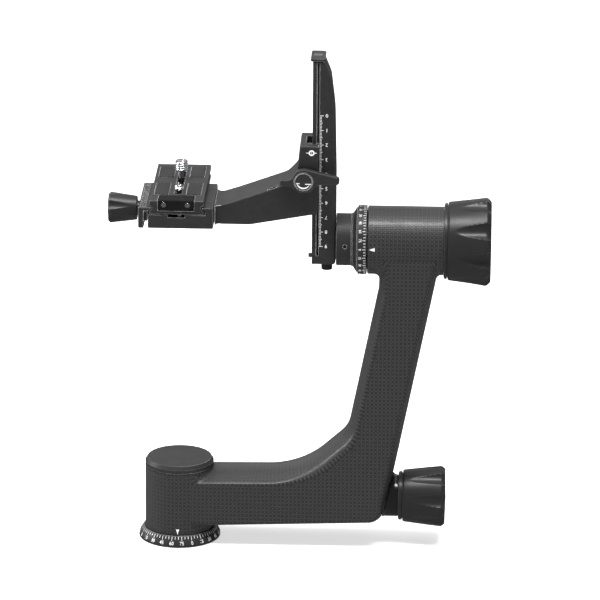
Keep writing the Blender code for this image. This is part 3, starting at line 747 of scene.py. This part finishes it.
def make_pan_cap():
    low, high = span("pan_cap")
    wide, inner = high.x, 15.6
    profile = rounded([
        (0, low.z, 0), (inner, low.z, 0), (inner, low.z + 1.25, 0), (wide, low.z + 1.25, 0.3),
        (wide, high.z - 2.5, 0.35), (wide - 1.5, high.z, 0.5), (0, high.z, 0),
    ])
    piece("pan_cap", "arm", turned(profile, "Z", PAN, 192))


def flange(bore, radius, start, end):
    """A thin ring whose middle stands out on both sides, close to its neighbours."""
    boss, stand = radius - 1.0, 0.36
    corners = [(bore, start - stand, 0), (boss, start - stand, 0), (boss, start, 0)]
    corners += [(radius, start, 0.35), (radius, end, 0.35), (boss, end, 0)]
    corners += [(boss, end + stand, 0), (bore, end + stand, 0)]
    return rounded(corners)


def make_pan_lock():
    low, high = span("pan_lock_bush")
    end = high.x
    collar = [(3.4, low.x), (9.5, low.x), (9.5, end - 10.5), (14.2, end - 10.5)]
    collar += [(14.2, end - 10.4 + 0.5 * k) for k in range(20)]
    collar += [(14.05, end - 0.15), (13.7, end), (3.4, end)]

    def flared(radius, along, angle):
        """Sweeps out to meet the leaning, crowned side of the arm."""
        if radius < 14:
            return radius
        y, z = radius * math.cos(angle), LOCK[2] + radius * math.sin(angle)
        side = ELBOW[0] + LEAN * (z - ELBOW[1]) + 1.02 * ARM_CROWN * (1 - (y / ARM_HALF_DEPTH) ** 2)
        sweep = 4.2 * max(0.01, min(1.0, (z - 17.5) / 9.0))
        into = max(0.0, sweep - max(0.0, along - side))
        return radius + sweep - math.sqrt(sweep**2 - into**2)

    piece("pan_lock_bush", "arm", turned(collar, "X", LOCK, 160, flared))
    low, high = span("pan_knob_flange")
    piece("pan_knob_flange", "pan_lock", turned(flange(5.0, 16.5, low.x, high.x), "X", LOCK, 128))
    grip = rounded([
        (0, 171.0, 0), (4.0, 171.0, 0), (4.0, 151.5, 0), (17.2, 151.5, 0.3), (17.7, 152.4, 0.4),
        (19.3, 166.0, 20.0), (20.6, 177.6, 1.2), (18.8, 180.0, 1.6), (0, 180.5, 0),
    ])
    shape = fluted(grip, LOCK, 156.0, 178.4, 8, math.radians(13.2), 2.4, math.radians(170))
    piece("pan_knob", "pan_lock", shape)


# ---------------------------------------------------------------- carbon arm

ARM_HALF_DEPTH = 21.5
ELBOW = (134.6, 19.0)  # the lower right corner of the arm's front face
LEAN = 0.196  # how far the arm's right side leans out for each millimetre up
ARM_CROWN = 4.5
ARM_EDGE = 1.6
ARM_WALL = 3.0
FILLET = 4.0
TUBE = 23.2
TUBE_TOP = 50.9
BARREL = 22.85


def crossing(first, second, height):
    """The point of the line through two points that lies at this height."""
    share = (height - first[1]) / (second[1] - first[1])
    return first[0] + (second[0] - first[0]) * share


def edge_radius(x, z):
    """The arm's edge is rounder along the inside of its lower bend."""
    near = max(0.0, 1 - math.hypot(x - 104, z - 60) / 48) if z > 22 and x < 134 else 0.0
    return ARM_EDGE + 3.0 * math.sin(near * math.pi / 2) ** 2


def arm_layer(depth, half_depth, inset, flared=True):
    """The arm's outline at a depth. It runs into the barrel and the tube with fillets."""
    swell = ARM_CROWN * (1 - (depth / half_depth) ** 2) - inset
    sharp = [(0, 14), ELBOW, (171.2, 206), (138.6, 206)]
    sharp += [(138.0, 178.5), (118.0, 76.8), (83.2, 45.6), (0, 44.3)]
    foot, elbow, right, left, neck, bend, hip, top = grown(sharp, swell)
    corners = [(*foot, 0), (*elbow, 7 + swell)]
    if flared:
        under = TILT[2] - math.sqrt(BARREL**2 - depth**2) + 0.05
        corners += [(crossing(elbow, right, under), under, FILLET), (176.1, under, 0)]
        corners += [(176.1, under + 4, 0), (127.5, under + 4, 0), (127.5, under, 0)]
        corners += [(crossing(neck, left, under), under, FILLET)]
    else:
        corners += [(*right, 0), (*left, 0)]
    corners += [(*neck, 9 - swell), (*bend, 27 - swell), (*hip, 61 - swell)]
    if flared:
        beside = math.sqrt(TUBE**2 - depth**2) - 0.05
        level = top[1] + (hip[1] - top[1]) * (beside - top[0]) / (hip[0] - top[0])
        fillet = min(FILLET, TUBE_TOP - 0.6 - level)
        corners += [(beside, level, fillet), (beside, TUBE_TOP - 0.4, 0)]
        corners += [(top[0], TUBE_TOP - 0.4, 0)]
    else:
        corners += [(*top, 0)]
    outline = rounded(corners, 14, even=True)
    amounts = []
    for x, z in outline:
        edge = edge_radius(x, z)
        into_edge = max(0.0, abs(depth) - (half_depth - edge))
        amounts.append(math.sqrt(max(0.0, edge**2 - into_edge**2)) - edge)
    return grown(outline, amounts)


def arm_depths(half_depth, steps):
    """Depths across the arm, close together in its rounded edges."""
    deep_edge = ARM_EDGE + 3.0
    turns = [math.pi / 2 * k / 10 for k in range(11)]
    edge = [half_depth - deep_edge * (1 - math.sin(t)) for t in turns]
    inner = [(half_depth - deep_edge) * k / steps for k in range(steps)]
    side = inner + edge
    return [-depth for depth in reversed(side[1:])] + side


def make_arm():
    tube, barrel, edge = TUBE, BARREL, 0.8
    tube_low, tube_high, start, end = 7.7, TUBE_TOP, 125.7, 176.4
    deep = ARM_HALF_DEPTH
    arm = lofted([(d, arm_layer(d, deep, 0.0)) for d in arm_depths(deep, 12)], "XZ")
    upright = close_set([(0, tube_low), (tube, tube_low), (tube, tube_high), (0, tube_high)], 60)
    across = [(0, start), (barrel - edge, start), (barrel, start + edge), (barrel, end), (0, end)]
    inner = deep - ARM_WALL
    hollow = lofted([(d, arm_layer(d, inner, ARM_WALL, False)) for d in arm_depths(inner, 3)], "XZ")
    cuts = [
        hollow,
        drill("X", LOCK, 9.9, 118, 170, (14.5, 137.4), 96),
        drill("Z", PAN, 20.4, tube_low - 5, tube_high + 5, None, 96),
        drill("X", TILT, 20.2, start - 5, end + 5, None, 96),
    ]
    joins = [turned(upright, "Z", PAN, 176), turned(across, "X", TILT, 176)]
    piece("carbon_arm", "arm", arm, cuts, joins, sharp=40)
    marks = Marks()

    def on_tube(u, v, h):
        turn = u / tube
        return ((tube + h) * math.sin(turn), -(tube + h) * math.cos(turn), v)

    def on_barrel(u, v, h):
        turn = u / barrel
        return (v, -(barrel + h) * math.cos(turn), TILT[2] - (barrel + h) * math.sin(turn))

    marks.patch([(-1.1, 11.8), (0.0, 8.0), (1.1, 11.8)], on_tube)
    marks.patch([(0.1, 127.1), (1.4, 130.9), (-1.2, 130.9)], on_barrel)
    marks.finish("arm_pointers", "arm")


# ---------------------------------------------------------------- tilt unit


def make_tilt_unit():
    low, high = span("tilt_hub")
    near = low.x
    hub = rounded([
        (0, near, 0), (17.45, near, 0.5), (17.45, near + 10.0, 0.2), (18.0, near + 10.5, 0.2),
        (18.0, near + 11.2, 0.3), (22.6, near + 14.1, 0.15), (13.7, near + 14.1, 0),
        (13.7, high.x, 0), (10.4, high.x, 0), (10.4, near + 11.1, 0), (0, near + 11.1, 0),
    ])
    cuts = [drill("Y", (near + 6.1, 0, TILT[2]), 1.3, -20, -12, None, 32)]
    cuts += [drill("X", (0, 0, level(name)), 2.8, 100, 114.5) for name in RAIL_BOLTS]
    piece("tilt_hub", "swing", turned(hub, "X", TILT, 160), cuts)
    low, high = span("tilt_dial")
    radius = high.z - TILT[2]
    dial = rounded(
        [(14.1, low.x, 0), (radius, low.x, 0.5), (radius, high.x, 0.35), (14.1, high.x, 0)]
    )
    piece("tilt_dial", "swing", turned(dial, "X", TILT, 192))
    marks = Marks()
    for degree in range(0, 360, 5):
        angle = math.radians(degree)

        def place(u, v, h, angle=angle):
            turn = angle + u / radius
            return (v, -(radius + h) * math.cos(turn), TILT[2] - (radius + h) * math.sin(turn))

        def lift(u, v, h, place=place):
            return place(u, v + low.x + 1.75, h)

        long = degree % 15 == 0
        marks.bar(0, high.x - (2.5 if long else 1.9), high.x - 0.45, 0.32, place)
        if long:
            marks.number(str(degree % 90), 1.75, lift)
    marks.finish("tilt_scale", "swing")
    set_screw = (near + 6.1, -17.2, TILT[2])
    cap_screw("hub_set_screw", "swing", "Y", set_screw, 1, (1.1, 0.8), (1.1, 3.6), "gloss_black")
    low, high = span("tilt_knob_flange")
    ring = flange(6.6, high.z - TILT[2], low.x, high.x)
    piece("tilt_knob_flange", "tilt_lock", turned(ring, "X", TILT, 160))
    grip = rounded([
        (0, 198.5, 0), (10.2, 198.5, 0), (10.2, 179.15, 0), (25.7, 179.15, 0.3),
        (26.3, 180.2, 0.5), (28.0, 194.0, 30.0), (29.7, 205.0, 2.4), (27.0, 207.9, 2.4),
        (0, 208.0, 0),
    ])
    shape = fluted(grip, TILT, 184.0, 205.0, 9, math.radians(11.2), 3.2, math.radians(149.5))
    piece("tilt_knob", "tilt_lock", shape)


# ---------------------------------------------------------------- rail

RAIL_BOLTS = ("rail_bolt_lower", "rail_bolt_upper")


def make_rail():
    low, high = span("rail")
    face, back, foot, top, deep = low.x, high.x, low.z, high.z, high.y
    web, lip, body = 7.5, face + 2.9, face + 4.6
    outline = rounded([
        (face, foot, 0), (back, foot, 1.6), (back, 258.0, 150.0), (back - 1.1, 303.0, 80.0),
        (back - 3.9, 325.5, 14.0), (back - 8.3, top, 0), (face, top, 0),
    ], 10)
    cuts = []
    for near, far in ((-deep - 3, -web), (web, deep + 3)):
        start, end = foot + 6.1, top + 3
        groove = rounded([(lip, start, 0.8), (body, start, 0.8), (body, end, 0), (lip, end, 0)])
        cuts.append(slab(groove, "XZ", near, far))
    for name in RAIL_BOLTS:
        cuts.append(drill("X", (0, 0, level(name)), 4.6, 80, 110, (2.8, 94.0)))
    cuts.append(drill("X", (0, 0, level("stop_button")), 1.9, 80, 95.2))
    cuts.append(drill("Z", (98.6, 0, 0), 1.7, foot - 3, 204.5))
    piece("rail", "swing", slab(outline, "XZ", -deep, deep, 1.1), cuts)
    for name in RAIL_BOLTS:
        cap_screw(name, "swing", "X", (89.2, 0, level(name)), 1, (4.2, 4.4), (2.5, 20.0))
    make_scale(-deep)
    low, high = span("rail_end_plate")
    corners = [(low.x, low.y, 1.2), (high.x, low.y, 2.2), (high.x, high.y, 2.2), (low.x, high.y, 1.2)]
    hole = drill("Z", (92.0, 0, 0), 1.6, top - 2, top + 5, (2.55, top + 1.2))
    piece("rail_end_plate", "swing", slab(rounded(corners), "XY", low.z, high.z, 0.5), [hole])
    screw_top = (92.0, 0, high.z - 0.05)
    cap_screw("end_plate_screw", "swing", "Z", screw_top, -1, (2.5, 0.9), (1.2, 6.0), "black_anodised")
    foot_low = span("rail_foot_screw")[0].z
    cap_screw("rail_foot_screw", "swing", "Z", (98.6, 0, foot_low), 1, (3.7, 5.7), (1.35, 6.8))


def make_scale(front):
    """Ten centimetres of graduations down the rail, numbered to be read from above."""
    marks = Marks()
    zero, start = 300.0, 93.7

    def place(u, v, h):
        return (u, front - h, v)

    for millimetre in range(0, 91):
        length = 2.4 if millimetre % 10 == 0 else 1.7 if millimetre % 5 == 0 else 1.1
        z = zero - millimetre
        end, half = start + length, 0.19
        marks.patch([(start, z - half), (end, z - half), (end, z + half), (start, z + half)], place)
    for number in range(10):

        def flipped(u, v, h, number=number):
            return (98.2 - u, front - h, zero - 10 * number - v)

        marks.number(str(number), 2.4, flipped)
    marks.finish("rail_scale", "swing")


def make_stop_button():
    low, high = span("stop_button")
    centre = (0, 0, level("stop_button"))
    profile = rounded([(0, low.x, 0), (1.5, low.x, 0.45), (1.5, high.x, 0.1), (0, high.x, 0)])
    piece("stop_button", "button", turned(profile, "X", centre, 48))


# ---------------------------------------------------------------- cradle


def make_cradle():
    low, high = span("cradle_arm")
    wide, foot, top, hook = high.y, low.z, high.z, high.x
    face, lip, body, web, deep = 88.7, 91.6, 93.3, 7.5, 10.5
    gap = 0.35
    outline = rounded([
        (24.6, foot, 0), (48.0, foot - 0.1, 20.0), (hook, foot + 8.0, 2.0), (hook, top, 0),
        (80.6, top, 1.2), (78.9, 262.0, 7.0), (72.0, 254.6, 11.0), (40.0, 243.0, 12.0),
        (29.5, 239.6, 5.0), (24.6, 239.6, 0),
    ], 12)
    web_plan = [(24.6, -wide - 3.5), (25.2, -wide - 3.5)]
    turns = [math.pi / 2 * k / 10 for k in range(11)]
    web_plan += [(28.7 - 3.5 * math.cos(t), -wide - 3.5 + 3.5 * math.sin(t)) for t in turns]
    web_plan += [(x, -y) for x, y in reversed(web_plan)]
    tongue = box((7.0, -12, foot), (30.0, 12, foot + 3.6), 0.4)
    cuts = [
        box((face - gap, -deep - gap, 220), (lip + gap, deep + gap, 300)),
        box((face, -web - gap, 220), (body + 3, web + gap, 300)),
        box((84.6, -8.6, 241.0), (face, 8.6, 300)),
        box((59.5, -16.2, 240.0), (68.5, -13.6, 262), 0.2),
        drill("Y", LEVER, 3.5, -20, 13),
    ]
    cuts += [drill("Z", (14.0, y, 0), 1.7, 220, 240) for y in (-8.0, 8.0)]
    joins = [tongue, slab(web_plan, "XY", foot + 0.4, 239.2)]
    piece("cradle_arm", "cradle", slab(outline, "XZ", -wide, wide, 0.9), cuts, joins)
    marks = Marks()

    def place(u, v, h):
        return (88.5 + u, -wide - h, 276.2 + v)

    marks.arc(1.5, 0, 360, 0.9, place)
    marks.bar(0, -1.0, 1.0, 0.3, place)
    marks.patch([(-3.7, -0.12), (-1.9, -0.35), (-1.9, 0.35), (-3.7, 0.12)], place)
    marks.patch([(3.5, 0.12), (1.9, 0.35), (1.9, -0.35), (3.5, -0.12)], place)
    marks.finish("cradle_index", "cradle")


def make_lock_lever():
    low, high = span("lock_lever")
    x, z = LEVER[0], LEVER[2]
    front, back = low.y, high.y
    outline = rounded([
        (67.8, 254.8, 1.4), (74.5, 254.2, 6.0), (80.0, 250.2, 4.0), (87.5, 250.2, 5.0),
        (93.0, 255.8, 6.0), (107.0, 255.6, 2.2), (107.2, 260.6, 2.0), (84.5, 266.2, 6.0),
        (79.2, 265.6, 5.0), (74.6, 258.8, 4.0), (67.6, 258.8, 1.6),
    ], 10)
    cuts = [drill("Y", LEVER, 6.3, front - 2, front + 1.6, None, 96)]
    cuts.append(drill("Y", LEVER, 3.5, front + 1, back + 2))
    piece("lock_lever", "lever", slab(outline, "XZ", front, back, 0.9), cuts)
    low, high = span("lever_cap")
    cap = rounded([(0, low.y, 0), (5.95, low.y, 0.35), (5.95, high.y, 0), (0, high.y, 0)])
    piece("lever_cap", "lever", turned(cap, "Y", LEVER, 96))
    marks = Marks()

    def place(u, v, h):
        return (x + u, low.y - h, z + v)

    marks.arc(4.35, 188, 332, 0.95, place, taper=0.8)
    marks.patch([(-4.9, -1.3), (-2.4, -1.3), (-2.4, -0.8), (-4.9, -0.8)], place)
    marks.patch([(1.2, -1.75), (5.1, -1.75), (5.1, -1.2), (1.2, -1.2)], place)
    marks.arc(5.7, 0, 360, 0.09, place, steps=72)
    marks.finish("lever_marks", "lever")


# ---------------------------------------------------------------- quick-release clamp


def make_clamp():
    low, high = span("clamp_base")
    half, bottom, right, top = high.y, low.z, high.x, high.z
    floor = top - 4.9
    outline = rounded([
        (-19.0, bottom, 0.7), (right, bottom, 0.8), (right, top, 0.8), (17.0, top, 0),
        (17.0, top - 0.6, 0), (18.9, top - 2.5, 0), (18.9, floor, 0), (5.5, floor, 0),
        (5.5, floor - 1.7, 0), (-5.5, floor - 1.7, 0), (-5.5, floor, 0), (-19.0, floor, 0),
    ], 4)
    cuts = [
        box((6.6, -12.4, 220), (30, 12.4, bottom + 4.0)),
        drill("X", CLAMP, 2.5, -25, -6.5),
    ]
    cuts += [drill("X", (0, y, CLAMP[2]), 2.9, -25, -9.0, (1.8, -14.0)) for y in (-18.0, 18.0)]
    cuts += [drill("Z", (14.0, y, 0), 1.7, 220, 240, (3.1, 232.2)) for y in (-8.0, 8.0)]
    piece("clamp_base", "cradle", slab(outline, "XZ", -half, half, 0.4), cuts)
    for name, y in (("clamp_bolt_front", -8.0), ("clamp_bolt_rear", 8.0)):
        cap_screw(name, "cradle", "Z", (14.0, y, 235.3), -1, (2.8, 2.7), (1.35, 6.0))


def make_moving_jaw():
    low, high = span("moving_jaw")
    half, left, bottom, top = high.y, low.x, low.z, high.z
    outline = rounded([
        (left, bottom, 0.7), (-21.9, bottom, 0), (-21.9, 230.8, 0), (-19.4, 230.8, 0),
        (-19.4, 236.4, 0), (-18.9, 237.0, 0), (-18.9, 238.0, 0), (-17.0, top - 0.6, 0),
        (-17.0, top, 0), (left, top, 0.8),
    ], 4)
    cuts = [
        box((-21.9, -half - 1, 229), (-18.0, 1.8 - half, 238.0)),
        drill("X", CLAMP, 2.5, -30, -15),
    ]
    cuts += [drill("X", (0, y, CLAMP[2]), 1.8, -24.2, -15) for y in (-18.0, 18.0)]
    count = 13
    for k in range(count):
        y = -half + 3.0 + (2 * half - 6.0) * k / (count - 1)
        cuts.append(box((-24.2, y - 1.0, top - 0.55), (-20.6, y + 1.0, top + 1), 0.2))
    piece("moving_jaw", "jaw", slab(outline, "XZ", -half, half, 0.4), cuts)


def make_clamp_knob():
    grip = rounded([
        (2.6, 25.8, 0), (4.9, 25.8, 0.2), (4.9, 27.9, 0), (8.0, 27.9, 0.5), (8.4, 31.0, 1.0),
        (9.4, 38.0, 20.0), (10.5, 45.3, 0.6), (9.4, 47.0, 1.0), (0, 47.2, 0), (0, 41.0, 0),
        (2.6, 41.0, 0),
    ])
    start = grip.index(next(point for point in grip if point[0] == 0))
    run = grip[start + 1 :] + grip[: start + 1]
    shape = fluted(run, CLAMP, 31.5, 46.0, 7, math.radians(17), 1.5, math.radians(0), -1)
    piece("clamp_knob", "jaw_knob", shape)


# ---------------------------------------------------------------- camera plate


def make_plate():
    low, high = span("camera_plate")
    wide, front, back, bottom, top = high.x, low.y, high.y, low.z, high.z
    half_side = [
        (wide, bottom, 0.7),
        (wide, 238.0, 0),
        (wide - 1.7, 239.7, 0),
        (wide - 1.7, 241.3, 0),
        (wide, 242.2, 0),
        (wide, top, 0.8),
    ]
    corners = half_side + [(-x, z, radius) for x, z, radius in reversed(half_side)]
    slot = rounded(rectangle(-2.6, 2.6, -13, 42, 2.55), 12)
    channel = rounded(rectangle(-6, 6, -14.5, 45, 4), 8)
    cuts = [
        slab(slot, "XY", 230, 250),
        slab(channel, "XY", 230, 240.6),
        box((-12.4, front - 2, 238.3), (11.7, -16.9, 250)),
        drill("Z", (2.0, -26.0, 0), 1.6, 230, 241.0),
    ]
    cuts += [drill("Y", (x, 0, 242.7), 1.2, -18, -11.5, None, 32) for x in (-8.4, 7.3)]
    pads = {
        "grip_pad_rear_left": (-15.6, -5.2, 26.0, 52.5),
        "grip_pad_rear_right": (5.2, 15.2, 26.0, 52.5),
        "grip_pad_front_left": (-15.8, -6.2, -14.5, 13.5),
        "grip_pad_front_right": (5.4, 15.2, -14.5, 13.5),
    }
    for x0, x1, y0, y1 in pads.values():
        well = rounded(rectangle(x0, x1, y0, y1, 1.6), 8)
        cuts.append(slab(well, "XY", top - 0.7, top + 2))
    piece("camera_plate", "plate", slab(rounded(corners, 4), "XZ", front, back, 0.4), cuts)
    for name, (x0, x1, y0, y1) in pads.items():
        shape = rounded(rectangle(x0 + 0.35, x1 - 0.35, y0 + 0.35, y1 - 0.35, 1.3), 8)
        ribs = [
            box((x0, y0 + 1.5 + 2.0 * k, top + 0.12), (x1, y0 + 1.9 + 2.0 * k, top + 1))
            for k in range(int((y1 - y0 - 2.0) / 2.0))
        ]
        piece(name, "plate", slab(shape, "XY", top - 0.4, top + 0.4, 0.15, 2), ribs)
    cap_screw("safety_screw", "plate", "Z", (2.0, -26.0, 234.3), 1, (2.2, 1.5), (1.25, 2.2))


def make_stop_block():
    low, high = span("lens_stop_block")
    outline = rounded(rectangle(low.x, high.x, low.z, high.z, 1.0), 6)
    screws = {"stop_block_screw_left": -8.4, "stop_block_screw_right": 7.3}
    cuts = [drill("Y", (x, 0, 242.7), 2.1, -40, -10, (1.3, -28.2), 48) for x in screws.values()]
    piece("lens_stop_block", "plate", slab(outline, "XZ", low.y, high.y, 0.5), cuts)
    for name, x in screws.items():
        cap_screw(name, "plate", "Y", (x, -30.1, 242.7), 1, (1.8, 1.5), (0.95, 16.2))


def make_camera_screw(end, y, thread_start, major, pitch):
    """A threaded screw that stands in the plate's slot above its washer."""
    node, washer = "camera_screw_" + end, "screw_washer_" + end
    top = span(node)[1].z
    base = span(node)[0].z
    neck = 1.7
    length = top - 0.6 - thread_start - 0.4
    wall = [(major, thread_start + 0.4 + length * k / 60) for k in range(61)]
    profile = [(0, base + 0.9), (3.4, base + 0.9), (3.5, base), (4.3, base), (4.6, base + 0.3)]
    profile += [(4.6, base + 2.9), (neck, base + 2.9), (neck, thread_start), (2.5, thread_start)]
    profile += wall + [(major - 0.85, top), (1.5, top), (1.2, top - 0.5), (0, top - 0.5)]
    shape = turned(profile, "Z", (0, y, 0), 72, threaded(major, 0.55 * pitch, pitch))
    piece(node, end + "_screw", shape)
    low, high = span(washer)
    ring = rounded([(2.1, low.z, 0), (4.9, low.z, 0.15), (4.9, high.z, 0.25), (2.1, high.z, 0.15)])
    piece(washer, end + "_washer", turned(ring, "Z", (0, y, 0), 72))


# ---------------------------------------------------------------- floor, light, camera


def area_light(name, place, target, width, height, power):
    data = bpy.data.lights.new(name, "AREA")
    data.shape = "RECTANGLE"
    data.size, data.size_y, data.energy = width, height, power
    light = bpy.data.objects.new(name, data)
    light.location = place
    towards = Vector(target) - Vector(place)
    light.rotation_euler = towards.to_track_quat("-Z", "Y").to_euler()
    bpy.context.scene.collection.objects.link(light)


def make_studio():
    shape = bmesh.new()
    bmesh.ops.create_grid(shape, x_segments=2, y_segments=2, size=12.0)
    mesh = bpy.data.meshes.new("floor")
    shape.to_mesh(mesh)
    shape.free()
    floor = bpy.data.objects.new("floor", mesh)
    floor.location.z = -0.0002
    bpy.context.scene.collection.objects.link(floor)
    pale, _, sockets = new_material("pale_floor", Roughness=0.9)
    sockets["Base Color"].default_value = grey(0.86)
    sockets["Specular IOR Level"].default_value = 0.1
    sockets["Emission Color"].default_value = grey(1.0)
    sockets["Emission Strength"].default_value = 0.62
    mesh.materials.append(pale)
    floor.visible_glossy = False
    world = bpy.data.worlds.new("studio")
    bpy.context.scene.world = world
    world.use_nodes = True
    sky = world.node_tree.nodes["Background"].inputs
    sky["Color"].default_value = (1, 1, 1, 1)
    sky["Strength"].default_value = 0.14
    middle = (0.09, 0, 0.16)
    area_light("overhead", (0.10, -0.50, 2.0), middle, 1.7, 0.30, 58)
    area_light("floor_wash", (0.10, 1.3, 2.4), (0.10, 1.2, 0), 4.0, 2.2, 22)
    area_light("left_strip", (-1.2, 0.25, 0.9), middle, 0.4, 1.4, 22)
    area_light("backdrop", (0.10, 2.4, 0.85), (0.09, 0, 0.2), 3.4, 1.1, 6)


def make_camera():
    """A long lens, a little above the mount and a little to its right."""
    pitch, yaw, roll = (math.radians(angle) for angle in (18.02, 2.11, 0.387))
    forward = Vector(
        (-math.sin(yaw) * math.cos(pitch), math.cos(yaw) * math.cos(pitch), -math.sin(pitch))
    )
    data = bpy.data.cameras.new("camera")
    data.lens = 272.41
    data.sensor_width = 36.0
    data.clip_end = 100.0
    camera = bpy.data.objects.new("camera", data)
    turn = forward.to_track_quat("-Z", "Y").to_matrix() @ Matrix.Rotation(roll, 3, "Z")
    camera.matrix_world = Matrix.Translation((0.18724, -2.88697, 1.10869)) @ turn.to_4x4()
    bpy.context.scene.collection.objects.link(camera)
    bpy.context.scene.camera = camera


for name, node in frame["nodes"].items():
    node.data.materials.clear()
    node.data.materials.append(LOOKS[SLOT_OF[name]])
    if not node.data.uv_layers:
        node.data.uv_layers.new(name="surface")

bpy.context.scene.view_settings.view_transform = "Standard"
make_camera()
make_studio()
make_base()
make_bush()
make_pan_cap()
make_pan_lock()
make_arm()
make_tilt_unit()
make_rail()
make_stop_button()
make_cradle()
make_lock_lever()
make_clamp()
make_moving_jaw()
make_clamp_knob()
make_plate()
make_stop_block()
make_camera_screw("rear", 24.7, 250.7, 4.45, 1.5875)
make_camera_screw("front", -3.5, 245.9, 3.15, 1.27)
